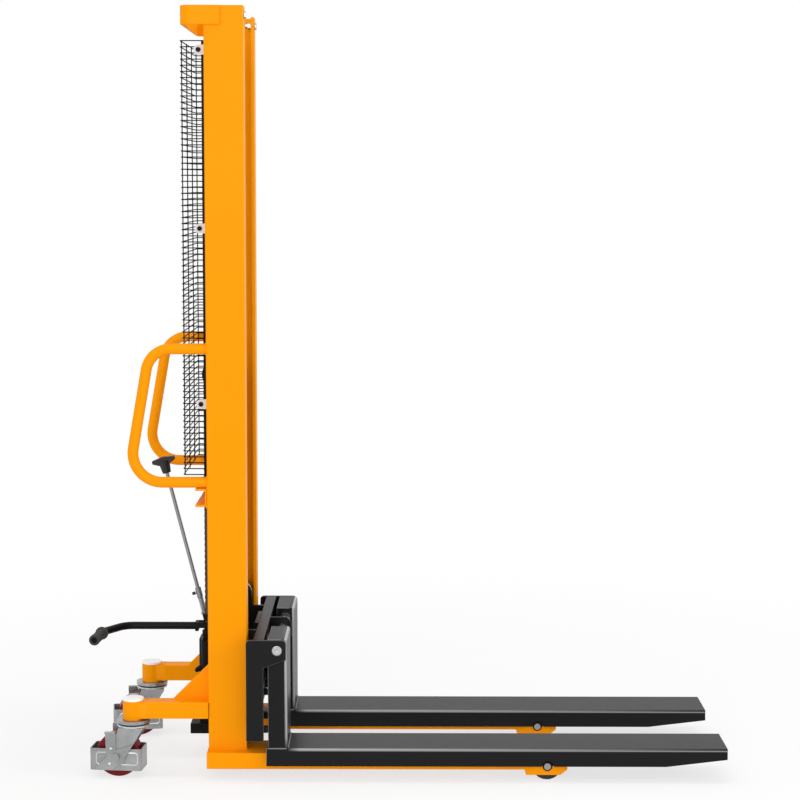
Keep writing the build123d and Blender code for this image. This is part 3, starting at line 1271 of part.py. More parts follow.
def build_nodes():
    """Every piece of the truck, by node name."""
    nodes = {
        "mast_top_hoop": top_hoop(),
        "mast_crossbeam": mid_crossbeam(),
        "base_crossbeam": base_crossbeam(),
        "stem_caps": pair(stem_cap()),
        "guard_rear_net": guard_rear(),
        "guard_side_nets": pair(guard_side()),
        "guard_clamps": guard_clamps(),
        "stop_bolts": pair(stop_bolt()),
        "load_roller_axles": pair(load_axle()),
        "ram_cylinder": ram_cylinder(),
        "ram_rod": ram_rod(),
        "pulley_yoke": pulley_yoke(),
        "chain_pulleys": pair(chain_pulley()),
        "chain_wraps": pair(chain_wrap()),
        "chain_rear_runs": pair(chain_run(CHAIN_REAR_X, FRAME_ANCHOR_Z)),
        "chain_front_runs": pair(chain_run(CHAIN_FRONT_X, LIFT_ANCHOR_Z)),
        "frame_chain_anchor": frame_anchor(),
        "carriage_chain_anchor": lift_anchor(),
        "carriage_top_bar": top_bar(),
        "carriage_bottom_bar": bottom_bar(),
        "carriage_centre_plate": centre_plate(),
        "fork_shaft": fork_shaft(),
        "pump_body": pump_body(),
        "oil_tank": oil_tank(),
        "pump_plunger": pump_plunger(),
        "pump_spring": pump_spring(),
        "pedal_lever": pedal_lever(),
        "pedal_grip": pedal_grip(),
        "release_rod": release_rod(),
        "release_spring": release_spring(),
        "release_knob": release_knob(),
    }
    for name, side in (("left", 1), ("right", -1)):
        nodes[f"mast_{name}"] = on_side(mast(), side)
        nodes[f"leg_{name}"] = on_side(leg(), side)
        nodes[f"load_roller_{name}"] = on_side(load_roller(), side)
        nodes[f"handle_{name}"] = on_side(handle(), side)
        nodes[f"castor_arm_{name}"] = on_side(castor_arm(), side)
        nodes[f"carriage_side_plate_{name}"] = on_side(side_plate(), side)
        nodes[f"roller_plate_{name}"] = on_side(roller_plate(), side)
        nodes[f"fork_{name}"] = on_side(fork(), side)
        for level, place in roller_places().items():
            nodes[f"mast_roller_{level}_{name}"] = on_side(mast_roller(place), side)
        place = castor_place(side)
        nodes[f"castor_yoke_{name}"] = place * castor_yoke()
        nodes[f"castor_guard_{name}"] = place * castor_guard()
        nodes[f"castor_core_{name}"] = place * castor_core()
        nodes[f"castor_tyre_{name}"] = place * castor_tyre()
    return nodes


def main():
    os.makedirs("parts", exist_ok=True)
    nodes = build_nodes()
    for name, shape in nodes.items():
        export_step(Pos(FRONT_FACE_X, 0, 0) * shape, f"parts/{name}.step")
    boxes = [(Pos(FRONT_FACE_X, 0, 0) * shape).bounding_box() for shape in nodes.values()]
    low = [min(getattr(box.min, axis) for box in boxes) for axis in "XYZ"]
    high = [max(getattr(box.max, axis) for box in boxes) for axis in "XYZ"]
    limits = [[round(value, 2) for value in corner] for corner in (low, high)]
    print(len(nodes), "nodes from", limits[0], "to", limits[1])


if __name__ == "__main__":
    main()
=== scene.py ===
# %% [markdown]
# # A high-lift pallet truck
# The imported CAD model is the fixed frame: every piece made here goes where the CAD says and moves with one
# of its bodies. Sizes are in millimetres from the front face of the mast, the face that the carriage runs
# along, and `spot` turns them into Blender's metres.

# %% Load the frame
import json
import math

import bmesh
import bpy
from mathutils import Matrix, Vector


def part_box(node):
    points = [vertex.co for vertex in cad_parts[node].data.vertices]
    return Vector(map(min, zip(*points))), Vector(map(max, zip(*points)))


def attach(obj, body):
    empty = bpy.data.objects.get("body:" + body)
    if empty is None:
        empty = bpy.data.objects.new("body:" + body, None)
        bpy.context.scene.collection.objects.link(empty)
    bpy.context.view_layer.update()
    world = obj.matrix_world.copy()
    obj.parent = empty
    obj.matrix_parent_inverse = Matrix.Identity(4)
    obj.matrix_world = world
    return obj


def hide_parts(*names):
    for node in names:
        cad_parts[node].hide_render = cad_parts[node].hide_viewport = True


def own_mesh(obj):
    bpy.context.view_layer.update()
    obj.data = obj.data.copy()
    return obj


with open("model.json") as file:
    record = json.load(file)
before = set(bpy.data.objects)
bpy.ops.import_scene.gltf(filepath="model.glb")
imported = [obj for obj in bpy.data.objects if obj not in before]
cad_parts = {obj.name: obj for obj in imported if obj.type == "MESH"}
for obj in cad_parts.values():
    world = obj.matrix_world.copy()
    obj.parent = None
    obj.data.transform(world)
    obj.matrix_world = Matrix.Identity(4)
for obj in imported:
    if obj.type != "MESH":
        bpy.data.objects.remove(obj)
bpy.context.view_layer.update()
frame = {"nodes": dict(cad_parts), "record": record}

MM = 0.001
SIDES = (-1, 1)
MAST_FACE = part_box("mast_left")[1].x
NODES = frame["nodes"]


def spot(x, y, z):
    """A point in metres, from millimetres off the mast's front face."""
    return Vector((MAST_FACE + x * MM, y * MM, z * MM))


# %% [markdown]
# ## Writing node trees as sums
# A material is a little sum: a noise spread between two limits, or one mask times another. `Socket` wraps
# one output of a node, so that such a sum is written as Python and each sign adds a Math node. `Board` adds
# every other node: it takes the node's type, its settings, and what goes into its sockets.

# %% Sockets and boards
class Socket:
    """One output of a node, with sums on it."""

    def __init__(self, board, output):
        self.board = board
        self.output = output

    def sum(self, operation, first, second):
        return self.board.add("ShaderNodeMath", {"operation": operation}, {0: first, 1: second})

    def __add__(self, other):
        return self.sum("ADD", self, other)

    def __sub__(self, other):
        return self.sum("SUBTRACT", self, other)

    def __rsub__(self, other):
        return self.sum("SUBTRACT", other, self)

    def __mul__(self, other):
        return self.sum("MULTIPLY", self, other)

    def __gt__(self, other):
        return self.sum("GREATER_THAN", self, other)

    __radd__ = __add__
    __rmul__ = __mul__


class Board:
    """A node tree that is built from calls."""

    def __init__(self, tree):
        self.tree = tree

    def add(self, kind, settings=None, inputs=None, output=0):
        """A node of that kind, its settings set first, with values or links in its sockets."""
        node = self.tree.nodes.new(kind)
        for name, value in (settings or {}).items():
            setattr(node, name, value)
        for name, value in (inputs or {}).items():
            self.plug(node.inputs[name], value)
        return Socket(self, node.outputs[output]) if node.outputs else None

    def plug(self, socket, value):
        """A value or a link for a socket, or a list of links where it takes several."""
        for item in value if isinstance(value, list) else [value]:
            if isinstance(item, Socket):
                self.tree.links.new(item.output, socket)
            else:
                socket.default_value = item


def linear(colour):
    """A colour as a screen shows it, from 0 to 255, in linear values by the sRGB curve."""
    shares = [value / 255 for value in colour]
    return [share / 12.92 if share <= 0.04045 else ((share + 0.055) / 1.055) ** 2.4 for share in shares]


class Finish(Board):
    """A material with one Principled shader."""

    def __init__(self, name):
        self.material = bpy.data.materials.new(name)
        self.material.use_nodes = True
        super().__init__(self.material.node_tree)
        self.shader = next(node for node in self.tree.nodes if node.type == "BSDF_PRINCIPLED")
        self.place = self.add("ShaderNodeTexCoord", output="Object")

    def noise(self, scale, detail, rough=0.55, stretch=(1, 1, 1)):
        """Noise in object space, with scale as the number of lumps in a metre."""
        where = self.add("ShaderNodeMapping", None, {"Vector": self.place, "Scale": stretch})
        inputs = {"Vector": where, "Scale": scale, "Detail": detail, "Roughness": rough}
        return self.add("ShaderNodeTexNoise", None, inputs, "Fac")

    def blend(self, share, first, second):
        """A colour between two others, each a plain colour or a socket."""
        ends = [end if isinstance(end, Socket) else (*linear(end), 1.0) for end in (first, second)]
        # A Mix node's colours go by number, because its other kinds of data have sockets of the same names.
        return self.add("ShaderNodeMix", {"data_type": "RGBA"}, {0: share, 6: ends[0], 7: ends[1]}, 2)

    def set(self, **values):
        """Values or links for the shader's sockets, named with underscores for spaces."""
        for name, value in values.items():
            self.plug(self.shader.inputs[name.replace("_", " ")], value)
        return self

    def bump(self, height, strength, depth):
        """Small relief, with depth in metres."""
        inputs = {"Strength": strength, "Distance": depth, "Height": height}
        return self.set(Normal=self.add("ShaderNodeBump", None, inputs))


def between(noise, low, high):
    """Noise as a value that wanders between two limits."""
    return noise * (high - low) + low


print("boards ready")

# %% [markdown]
# ## Paint
# The frame is powder coated. The powder melts into a skin with a faint orange-peel relief, a little uneven
# in gloss, so the paint's roughness and colour wander slightly and a fine bump breaks up the reflections.
# Inside the mast's channels the colour is a little yellower, a painted shade colour for the inside of the
# channels. The forks and carriage are a smooth near-black. A pale painted highlight runs along their rounded
# rims, where light would catch them, and a mesh says where it falls with a point attribute for it.

# %% Paint finishes
CHANNEL_X = (-91.5, -8.5)
CHANNEL_Y = 217.5
CHANNEL_Z = 75.0
GRAIN_DEPTH = 0.0004


def in_channel(coat):
    """A mask for the painted shade colour: one inside the mast's two channels, and nought elsewhere."""
    x, y, z = (coat.add("ShaderNodeSeparateXYZ", None, {0: coat.place}, axis) for axis in "XYZ")
    rear, front = (spot(edge, 0, 0).x for edge in CHANNEL_X)
    between_flanges = (x > rear) * (1 - (x > front))
    within_webs = 1 - (y * y > (CHANNEL_Y * MM) ** 2)
    return between_flanges * within_webs * (z > CHANNEL_Z * MM)


def paint(name, colour, shade, roughness, gloss, peel=0.25, rim=None, painted_channel_shade=None):
    """Powder coat that drifts towards a second shade, with a painted highlight on rims and a painted shade
    colour inside the mast's channels.
    """
    coat = Finish(name)
    cloud = coat.noise(scale=3.0, detail=4.0)
    grain = coat.noise(scale=420.0, detail=2.0)
    speck = coat.noise(scale=60.0, detail=5.0, rough=0.7)
    base = coat.blend(between(cloud, 0.0, 0.7), colour, shade)
    # Inside the channels a yellower colour is painted to stand for the shade there.
    if painted_channel_shade:
        base = coat.blend(in_channel(coat), base, painted_channel_shade)
    # A pale colour painted along the rounded rims as a highlight, where the point attribute says.
    if rim:
        painted_highlight_share = coat.add("ShaderNodeAttribute", {"attribute_name": "rim"}, None, "Fac")
        base = coat.blend(painted_highlight_share * between(cloud, 0.8, 1.0), base, rim)
    coat.set(Base_Color=base, Roughness=between(speck, *roughness), Specular_IOR_Level=gloss)
    return coat.bump(grain, strength=peel, depth=GRAIN_DEPTH).material


# The third colour is a painted shade colour for the inside of the mast's channels.
orange_paint = paint(
    "orange_paint", (252, 157, 2), (248, 149, 1), (0.34, 0.48), gloss=0.05, painted_channel_shade=(244, 169, 4)
)
# The pale third colour is a painted highlight for the rounded rims.
dark_paint = paint(
    "dark_paint", (17, 17, 18), (12, 12, 13), (0.35, 0.43), gloss=0.17, peel=0.05, rim=(196, 198, 202)
)
black_paint = paint("black_paint", (12, 12, 12), (8, 8, 9), (0.38, 0.55), gloss=0.13, peel=0.1)
tab_paint = paint("tab_paint", (228, 229, 230), (214, 215, 216), (0.32, 0.48), gloss=0.3)
print("paint finishes made")

# %% [markdown]
# ## Metal, plastic and rubber
# Zinc plate on the castors is a soft grey with cloudy patches. Turned steel has fine rings round its axis,
# the ram is hard chrome, and the chain is steel under a film of oil. The tyres are a dark red elastomer.

# %% Metal, plastic and rubber finishes
LINE_DEPTH = 0.0002
LINE_SHARE = 0.6
CLOUD_SHARE = 0.4


def metal(name, colour, shade, roughness, metallic=1.0, scale=300.0, stretch=(1, 1, 1)):
    """Bare or plated metal, with fine lines that lie closer along a stretched axis."""
    bare = Finish(name)
    lines = bare.noise(scale, detail=2.0, rough=0.6, stretch=stretch)
    cloud = bare.noise(scale=14.0, detail=4.0)
    base = bare.blend(cloud, colour, shade)
    dulled = between(lines * LINE_SHARE + cloud * CLOUD_SHARE, *roughness)
    bare.set(Base_Color=base, Roughness=dulled, Metallic=metallic)
    return bare.bump(lines, strength=0.12, depth=LINE_DEPTH).material


def moulding(name, colour, shade, roughness, scale, relief, gloss=0.5):
    """Moulded plastic or rubber with a fine grain."""
    cast = Finish(name)
    cloud = cast.noise(scale=9.0, detail=4.0)
    grain = cast.noise(scale, detail=3.0)
    base = cast.blend(cloud, colour, shade)
    cast.set(Base_Color=base, Roughness=between(grain, *roughness), Specular_IOR_Level=gloss)
    return cast.bump(grain, strength=relief, depth=GRAIN_DEPTH).material


zinc_plate = metal("zinc_plate", (190, 192, 192), (104, 106, 107), (0.26, 0.46), metallic=0.8, scale=90.0)
# A paler zinc, painted as a highlight on the castors' emboss, rivets and flange.
bright_zinc = metal("bright_zinc", (226, 228, 229), (188, 190, 191), (0.24, 0.38), metallic=0.6, scale=90.0)
turned_steel = metal("turned_steel", (205, 206, 206), (176, 178, 180), (0.16, 0.34), stretch=(1, 12, 1))
ram_chrome = metal("ram_chrome", (214, 216, 218), (206, 208, 211), (0.05, 0.12), stretch=(1, 1, 10))
chain_steel = metal("chain_steel", (74, 72, 70), (52, 50, 48), (0.30, 0.50), metallic=0.9)
spring_steel = metal("spring_steel", (196, 198, 200), (164, 166, 169), (0.22, 0.36), metallic=0.5)
dull_steel = metal("dull_steel", (172, 173, 173), (128, 129, 130), (0.34, 0.52), metallic=0.7, scale=160.0)
white_cap = moulding("white_cap", (252, 252, 251), (247, 247, 246), (0.34, 0.50), scale=260.0, relief=0.15)
tyre_red = moulding("tyre_red", (128, 9, 22), (104, 5, 16), (0.24, 0.44), scale=180.0, relief=0.2, gloss=0.22)
black_nylon = moulding("black_nylon", (20, 20, 21), (14, 14, 15), (0.38, 0.56), scale=300.0, relief=0.25)
grip_rubber = moulding("grip_rubber", (38, 38, 38), (28, 28, 28), (0.52, 0.72), scale=380.0, relief=0.35)
print("metal, plastic and rubber finishes made")

# %% [markdown]
# ## A finish for every CAD node
# Each node already has a material slot in the record. The slot's name says which finish it takes. Only the
# release rod and the load axles differ: they are cheap drawn bar, duller than the turned pins in their slot.

# %% Dress the CAD nodes
SLOT_FINISH = {
    "frame_paint": orange_paint,
    "dark_paint": dark_paint,
    "black_metal": black_paint,
    "zinc": zinc_plate,
    "steel": turned_steel,
    "ram_chrome": ram_chrome,
    "tab_paint": tab_paint,
    "cap_white": white_cap,
    "rubber": grip_rubber,
    "tread": tyre_red,
    "nylon": black_nylon,
}
NODE_SLOT = {part["node"]: part["material_slot"] for part in frame["record"]["subparts"]}
NODE_FINISH = {name: SLOT_FINISH[slot] for name, slot in NODE_SLOT.items()}
NODE_FINISH.update(release_rod=dull_steel, load_roller_axles=dull_steel)


def coat_with(mesh, finish):
    """A mesh with one material, in place of any that it had."""
    mesh.materials.clear()
    mesh.materials.append(finish)
    return mesh


for name, node in NODES.items():
    coat_with(node.data, NODE_FINISH[name])
print("dressed", len(NODES), "nodes")

# %% [markdown]
# ## Edges
# No edge of a steel truck is razor sharp: plates are ground, castings have radii, and paint pulls back into
# a small round that catches the light. Each hard-edged CAD node is copied, its slivers are closed up, its
# triangles are merged into flat faces, and a Bevel modifier rounds every edge that turns by more than a set
# angle. An edge stays as it is where its faces nearly fold back on each other and where the CAD's own radii
# run out, and cuts across the copy end the rounding there. Normals weighted by area keep the flats flat, and
# the copy then stands for the CAD node.

# %% Round the edges of the plates and castings
BODIES = frame["record"]["behaviour"]["bodies"]
BODY_OF = {node: body for body, nodes in BODIES.items() for node in nodes}
WELD_REACH = 0.01
SLIVER = 0.03
FLAT_TURN = math.radians(0.8)
SOFT_TURN = math.radians(22)
HARD_TURN = math.radians(38)
KNIFE_TURN = math.radians(150)
ROUND_STEPS = 2
FLAT_BREADTH = 2.0
# Below this height and this near the fork heel, no highlight is painted on the rims.
PAINTED_HIGHLIGHT_LOW = 70.0
PAINTED_HIGHLIGHT_HEEL_REACH = 30.0
HEEL = spot(108, 0, 90)
HEEL_REACH = 16.0
SHANK_CORNER = spot(108, 0, 377)
SHANK_REACH = 15.0
FORK_SIDES = (115, 275)
CASTOR_STEM = (-298.0, 205.0)
STEM = spot(*CASTOR_STEM, 0)
STEM_REACH = 34.0


def show(name, data):
    """A new object in the scene."""
    thing = bpy.data.objects.new(name, data)
    bpy.context.scene.collection.objects.link(thing)
    return thing


def add_piece(name, mesh, body, slot, *nodes):
    """A finished mesh as a piece that rides on a body and stands for CAD nodes."""
    piece = show(name, mesh)
    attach(piece, body)
    if nodes:
        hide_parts(*nodes)
    return piece


def settle(maker):
    """The evaluated mesh of an object, which is then taken away."""
    bpy.context.scene.collection.objects.link(maker)
    graph = bpy.context.evaluated_depsgraph_get()
    solid = maker.evaluated_get(graph)
    mesh = bpy.data.meshes.new_from_object(solid, preserve_all_data_layers=True, depsgraph=graph)
    bpy.data.objects.remove(maker)
    return mesh


def as_mesh(shell, name):
    """A mesh of what is being built, which is then closed."""
    mesh = bpy.data.meshes.new(name)
    shell.to_mesh(mesh)
    shell.free()
    return mesh


def merged_copy(node, keep_sharp, cuts):
    """A CAD node's mesh with its triangles joined into flat faces, and a bevel weight on hard edges."""
    shell = bmesh.new()
    shell.from_mesh(NODES[node].data)
    bmesh.ops.remove_doubles(shell, verts=shell.verts, dist=WELD_REACH * MM)
    bmesh.ops.dissolve_degenerate(shell, dist=SLIVER * MM, edges=shell.edges)
    bmesh.ops.dissolve_limit(shell, angle_limit=FLAT_TURN, verts=shell.verts, edges=shell.edges)
    for place, way in cuts:
        geometry = [*shell.verts, *shell.edges, *shell.faces]
        bmesh.ops.bisect_plane(shell, geom=geometry, plane_co=place, plane_no=way)
    weight = shell.edges.layers.float.new("bevel_weight_edge")
    for edge in shell.edges:
        turn = edge.calc_face_angle(0.0)
        plain = keep_sharp and any(keep_sharp(vert.co) for vert in edge.verts)
        rounded = HARD_TURN < turn < KNIFE_TURN and not plain
        edge[weight] = 1.0 if rounded else 0.0
        edge.smooth = rounded or turn < SOFT_TURN
    for face in shell.faces:
        face.smooth = True
    return as_mesh(shell, node + "_merged")


def round_edges(node, width, keep_sharp, cuts):
    """A copy of a CAD node with rounded edges, which stands for it."""
    maker = bpy.data.objects.new(node + "_maker", merged_copy(node, keep_sharp, cuts))
    bevel = maker.modifiers.new("round", "BEVEL")
    bevel.width = width * MM
    bevel.segments = ROUND_STEPS
    bevel.limit_method = "WEIGHT"
    bevel.use_clamp_overlap = False
    flats = maker.modifiers.new("flats", "WEIGHTED_NORMAL")
    flats.keep_sharp = True
    mesh = coat_with(settle(maker), NODE_FINISH[node])
    return add_piece(node + "_rounded", mesh, BODY_OF[node], NODE_SLOT[node], node)


def is_wide(mesh, face):
    """Whether a face is a flat, and not one strip of a round."""
    corners = [mesh.vertices[index].co for index in face.vertices]
    perimeter = sum((end - start).length for start, end in zip(corners, corners[1:] + corners[:1]))
    return face.area > FLAT_BREADTH * MM * perimeter


def near_line(place, line, reach):
    """Whether a place is close to a line across the truck, with the reach in millimetres."""
    return math.hypot(place.x - line.x, place.z - line.z) < reach * MM


def mark_painted_highlights(mesh, strength):
    """A point attribute for a painted highlight: high along the upper rounds, and nought on flats, low down
    and near the heel.
    """
    rim = mesh.attributes.new("rim", "FLOAT", "POINT")
    plain = {index for face in mesh.polygons if is_wide(mesh, face) for index in face.vertices}
    for item, vert in zip(rim.data, mesh.vertices):
        slant = (1.0 - max(abs(share) for share in vert.normal)) / (1.0 - math.sqrt(0.5))
        low = vert.co.z < PAINTED_HIGHLIGHT_LOW * MM
        worn = vert.index not in plain and not low and not near_line(vert.co, HEEL, PAINTED_HIGHLIGHT_HEEL_REACH)
        item.value = strength * math.sqrt(min(slant, 1.0)) if worn else 0.0


def fork_plain(place):
    """Where a fork keeps its edges: inside it, and where the CAD's own radii meet at heel and shank top."""
    inside = min(abs(abs(place.y) - side * MM) for side in FORK_SIDES) > MM
    at_heel = near_line(place, HEEL, HEEL_REACH)
    return inside or at_heel or near_line(place, SHANK_CORNER, SHANK_REACH)


def near_stem(place):
    """Where a castor arm keeps its edges: on or close to the stem tube that it runs into."""
    return math.hypot(place.x - STEM.x, abs(place.y) - STEM.y) < STEM_REACH * MM


def cut_at(x):
    """A cut square to the truck's length."""
    return spot(x, 0, 0), (1, 0, 0)


def both(name):
    return [name + "_left", name + "_right"]


ANCHORS = ["frame_chain_anchor", "carriage_chain_anchor"]
EDGE_ROUND = {
    1.2: both("mast") + both("fork") + ["pulley_yoke"],
    1.5: ["mast_top_hoop"] + both("carriage_side_plate") + both("roller_plate"),
    2.0: both("leg") + both("castor_arm") + ["carriage_top_bar", "carriage_bottom_bar", "pump_body"],
    2.5: ["mast_crossbeam", "base_crossbeam"],
    0.8: ["carriage_centre_plate"] + ANCHORS + ["ram_cylinder", "chain_pulleys"],
    0.6: both("castor_yoke") + both("castor_guard") + ["stop_bolts", "pedal_lever", "load_roller_axles"],
    1.0: ["fork_shaft", "release_knob"] + both("mast_roller_upper") + both("mast_roller_lower"),
}
PLAIN_PLACES = {"fork": fork_plain, "castor_arm": near_stem}
# How strong the painted highlight along the rims is on each kind of part.
PAINTED_HIGHLIGHT_STRENGTH = {"fork": 0.85, "carriage_side_plate": 0.2}
CUTS = {
    "fork": [cut_at(140), cut_at(92), (spot(0, 0, 122), (0, 0, 1))],
    "castor_arm": [cut_at(-260)],
}
for width, nodes in EDGE_ROUND.items():
    for node in nodes:
        kind = node.removesuffix("_left").removesuffix("_right")
        piece = round_edges(node, width, PLAIN_PLACES.get(kind), CUTS.get(kind, []))
        if kind in PAINTED_HIGHLIGHT_STRENGTH:
            mark_painted_highlights(piece.data, PAINTED_HIGHLIGHT_STRENGTH[kind])
        print(f"{node}: {len(piece.data.polygons)} faces, edges rounded by {width} mm")

# %% [markdown]
# ## Geometry Nodes, written the same way
# What repeats along a line or follows a path is made by Geometry Nodes. `Tree` is a board with named inputs.
# It ends by turning instances into a real mesh and giving it a material, because an export drops instances.
# `grow` runs a tree on a curve or on points, keeps the plain mesh that comes out, and throws the rest away.

# %% Trees and paths
BAR_SIDES = 8
SMOOTH_ANGLE = 38


class Tree(Board):
    """A Geometry Nodes tree with named inputs."""

    def __init__(self, name, **inputs):
        super().__init__(bpy.data.node_groups.new(name, "GeometryNodeTree"))
        face = self.tree.interface
        face.new_socket("Geometry", in_out="INPUT", socket_type="NodeSocketGeometry")
        face.new_socket("Geometry", in_out="OUTPUT", socket_type="NodeSocketGeometry")
        for label, kind in {**inputs, "Finish": "Material"}.items():
            face.new_socket(label, in_out="INPUT", socket_type="NodeSocket" + kind)

    def value(self, label):
        """One of the tree's inputs."""
        return self.add("NodeGroupInput", output=label)

    def shape(self, label):
        """The geometry of an object that is one of the tree's inputs."""
        return self.add("GeometryNodeObjectInfo", None, {"Object": self.value(label)}, "Geometry")

    def put(self, points, shape, **more):
        """Copies of a shape on points."""
        return self.add("GeometryNodeInstanceOnPoints", None, {"Points": points, "Instance": shape, **more})

    def close(self, geometry):
        """Real geometry with a material, as the tree's result."""
        solid = self.add("GeometryNodeRealizeInstances", None, {"Geometry": geometry})
        smooth = self.add("GeometryNodeSetShadeSmooth", None, {"Geometry": solid})
        dressed = {"Geometry": smooth, "Material": self.value("Finish")}
        self.add("NodeGroupOutput", None, {"Geometry": self.add("GeometryNodeSetMaterial", None, dressed)})
        return self.tree


def polyline(name, paths, closed=False):
    """A curve object with straight runs through points in millimetres, one for each path."""
    curve = bpy.data.curves.new(name, "CURVE")
    curve.dimensions = "3D"
    for path in paths:
        line = curve.splines.new("POLY")
        line.points.add(len(path) - 1)
        for point, place in zip(line.points, path):
            point.co = (*spot(*place), 1.0)
        line.use_cyclic_u = closed
    return bpy.data.objects.new(name, curve)


def grow(seed, tree, **values):
    """The mesh that a tree makes of a curve or a cloud of points."""
    run = seed.modifiers.new("grow", "NODES")
    run.node_group = tree
    labels = {item.name: item.identifier for item in tree.interface.items_tree if item.in_out == "INPUT"}
    for label, value in values.items():
        run[labels[label]] = value
    return settle(seed)


def smoothed(mesh, angle=SMOOTH_ANGLE):
    """Smooth shading, broken where faces meet at more than an angle."""
    mesh.set_sharp_from_angle(angle=math.radians(angle))
    return mesh


def join(name, meshes, finish, angle=SMOOTH_ANGLE):
    """Several meshes as one, with one material."""
    shell = bmesh.new()
    for mesh in meshes:
        shell.from_mesh(mesh)
    return smoothed(coat_with(as_mesh(shell, name), finish), angle)


def round_turns(count):
    """Angles at even steps round a circle."""
    return [2 * math.pi * index / count for index in range(count)]


def turn_about(axis, degrees):
    return Matrix.Rotation(math.radians(degrees), 4, axis)


def square_to(way):
    """Two directions that are square to a third and to each other."""
    across = way.orthogonal().normalized()
    return across, way.cross(across)


print("trees ready")

# %% [markdown]
# ## The wire guard
# The guard keeps hands off the chain. It is welded mesh folded round the back of the mast: level wires close
# together, a few uprights that hold them, and a flat strip along each front edge. One tree sweeps a round
# section along a path and repeats it at even steps, so the level wires come from one U-shaped path.

# %% Weave the guard
def repeated_wire():
    tree = Tree("repeated_wire", Radius="Float", Sides="Int", Copies="Int", Step="Vector")
    circle = {"Resolution": tree.value("Sides"), "Radius": tree.value("Radius")}
    section = tree.add("GeometryNodeCurvePrimitiveCircle", {"mode": "RADIUS"}, circle)
    sweep = {"Curve": tree.value("Geometry"), "Profile Curve": section, "Fill Caps": True}
    line = {"Count": tree.value("Copies"), "Offset": tree.value("Step")}
    places = tree.add("GeometryNodeMeshLine", {"mode": "OFFSET"}, line)
    return tree.close(tree.put(places, tree.add("GeometryNodeCurveToMesh", None, sweep)))


WIRE_TREE = repeated_wire()
GUARD_BACK = -162.0
GUARD_FRONT = -105.0
GUARD_HALF = 192.0
GUARD_LOW = 791.0
GUARD_HIGH = 1902.0
GUARD_CORNER = 4.0
GUARD_INSET = 1.2
GUARD_WIRE = 1.55
GUARD_ROWS = 72
STRIP_WIDTH = 8.0
STRIP_THICK = 2.4
STRIP_ROUND = 0.6


def guard_outline(z):
    """One level wire, from the left front edge round the back to the right."""
    half = [
        (GUARD_FRONT, GUARD_HALF, z),
        (GUARD_BACK + GUARD_CORNER, GUARD_HALF, z),
        (GUARD_BACK + GUARD_INSET, GUARD_HALF - GUARD_INSET, z),
        (GUARD_BACK, GUARD_HALF - GUARD_CORNER, z),
    ]
    return half + [(x, -y, z) for x, y, z in reversed(half)]


def wire(paths, radius, finish, copies=1, step=(0, 0, 0), sides=6, closed=False):
    """Round wire along paths, and copies of it at even steps in millimetres."""
    offset = tuple(value * MM for value in step)
    curve = polyline("wire", paths, closed)
    return grow(curve, WIRE_TREE, Radius=radius * MM, Sides=sides, Copies=copies, Step=offset, Finish=finish)


def strip(low, high):
    """A flat strip between two corners in millimetres, its edges rounded."""
    shell = bmesh.new()
    bmesh.ops.create_cube(shell, size=1.0)
    low, high = spot(*low), spot(*high)
    for vert in shell.verts:
        vert.co = low + Vector((share + 0.5) * width for share, width in zip(vert.co, high - low))
    edges = shell.edges[:]
    bmesh.ops.bevel(shell, geom=edges, offset=STRIP_ROUND * MM, segments=2, profile=0.5, affect="EDGES")
    return as_mesh(shell, "strip")


def weave_guard():
    low, high = GUARD_LOW + GUARD_WIRE, GUARD_HIGH - GUARD_WIRE
    pitch = (high - low) / GUARD_ROWS
    inner = GUARD_HALF - 2 * GUARD_WIRE
    parts = [wire([guard_outline(low)], GUARD_WIRE, black_paint, GUARD_ROWS + 1, (0, 0, pitch))]
    uprights = [(GUARD_BACK + 2 * GUARD_WIRE, y) for y in (-inner, -inner / 3, inner / 3, inner)]
    parts.append(wire([[(x, y, low), (x, y, high)] for x, y in uprights], GUARD_WIRE, black_paint))
    for side in SIDES:
        low_corner = (GUARD_FRONT - STRIP_WIDTH / 2, side * GUARD_HALF - STRIP_THICK / 2, GUARD_LOW)
        high_corner = (GUARD_FRONT + STRIP_WIDTH / 2, side * GUARD_HALF + STRIP_THICK / 2, GUARD_HIGH)
        parts.append(strip(low_corner, high_corner))
    mesh = join("guard_mesh", parts, black_paint)
    return add_piece("guard_mesh", mesh, "chassis", "black_metal", "guard_rear_net", "guard_side_nets")


guard = weave_guard()
print("guard", len(guard.data.polygons), "faces")

# %% [markdown]
# ## The lift chains
# Two roller chains carry the load. Each runs from an anchor on the frame, up behind the ram, over a pulley
# on top of it, and down to the carriage. A link is two waisted plates on two joints, and wide outer links
# alternate with narrow inner ones. The tree spreads points along a path and puts an outer or an inner link
# on each by turns, in the path's direction.
#
# The ram lifts the pulleys at half the carriage's speed. The front runs get shorter. The rear runs get
# longer, and nothing here can stretch, so each is drawn in copies that lie inside each other at rest: one
# goes up with the ram, a slimmer one stays on the frame, and a short one between them, slimmer still, also
# stays on the frame.

# %% Links and runs
CHAIN_PITCH = 15.875
CHAIN_OUT = 50.0
PLATE_HALF = 6.3
PLATE_WAIST = 4.6
PLATE_ARC = (-75, -40, 0, 40, 75)
PULLEY_X = -90.0
PULLEY_Z = 1040.0
PULLEY_RADIUS = 27.5
FRONT_X = PULLEY_X + PULLEY_RADIUS
REAR_X = PULLEY_X - PULLEY_RADIUS
REAR_FOOT = 396.0
FRONT_FOOT = 225.0
HIDDEN_END = 18.0
SPARE_END = 12.0
FIXED_SLIM = 0.94
MIDDLE_SLIM = 0.88
MIDDLE_LENGTH = 120.0
MIDDLE_RISE = 104.0
MIDDLE_KEEP = 0.96


def prism(shell, outline, low, high):
    """A closed outline in the XZ plane, drawn out between two distances along Y."""
    near = [shell.verts.new((x * MM, low * MM, z * MM)) for x, z in outline]
    far = [shell.verts.new((x * MM, high * MM, z * MM)) for x, z in outline]
    shell.faces.new(near)
    shell.faces.new(reversed(far))
    for index in range(len(outline)):
        after = (index + 1) % len(outline)
        shell.faces.new((near[after], near[index], far[index], far[after]))


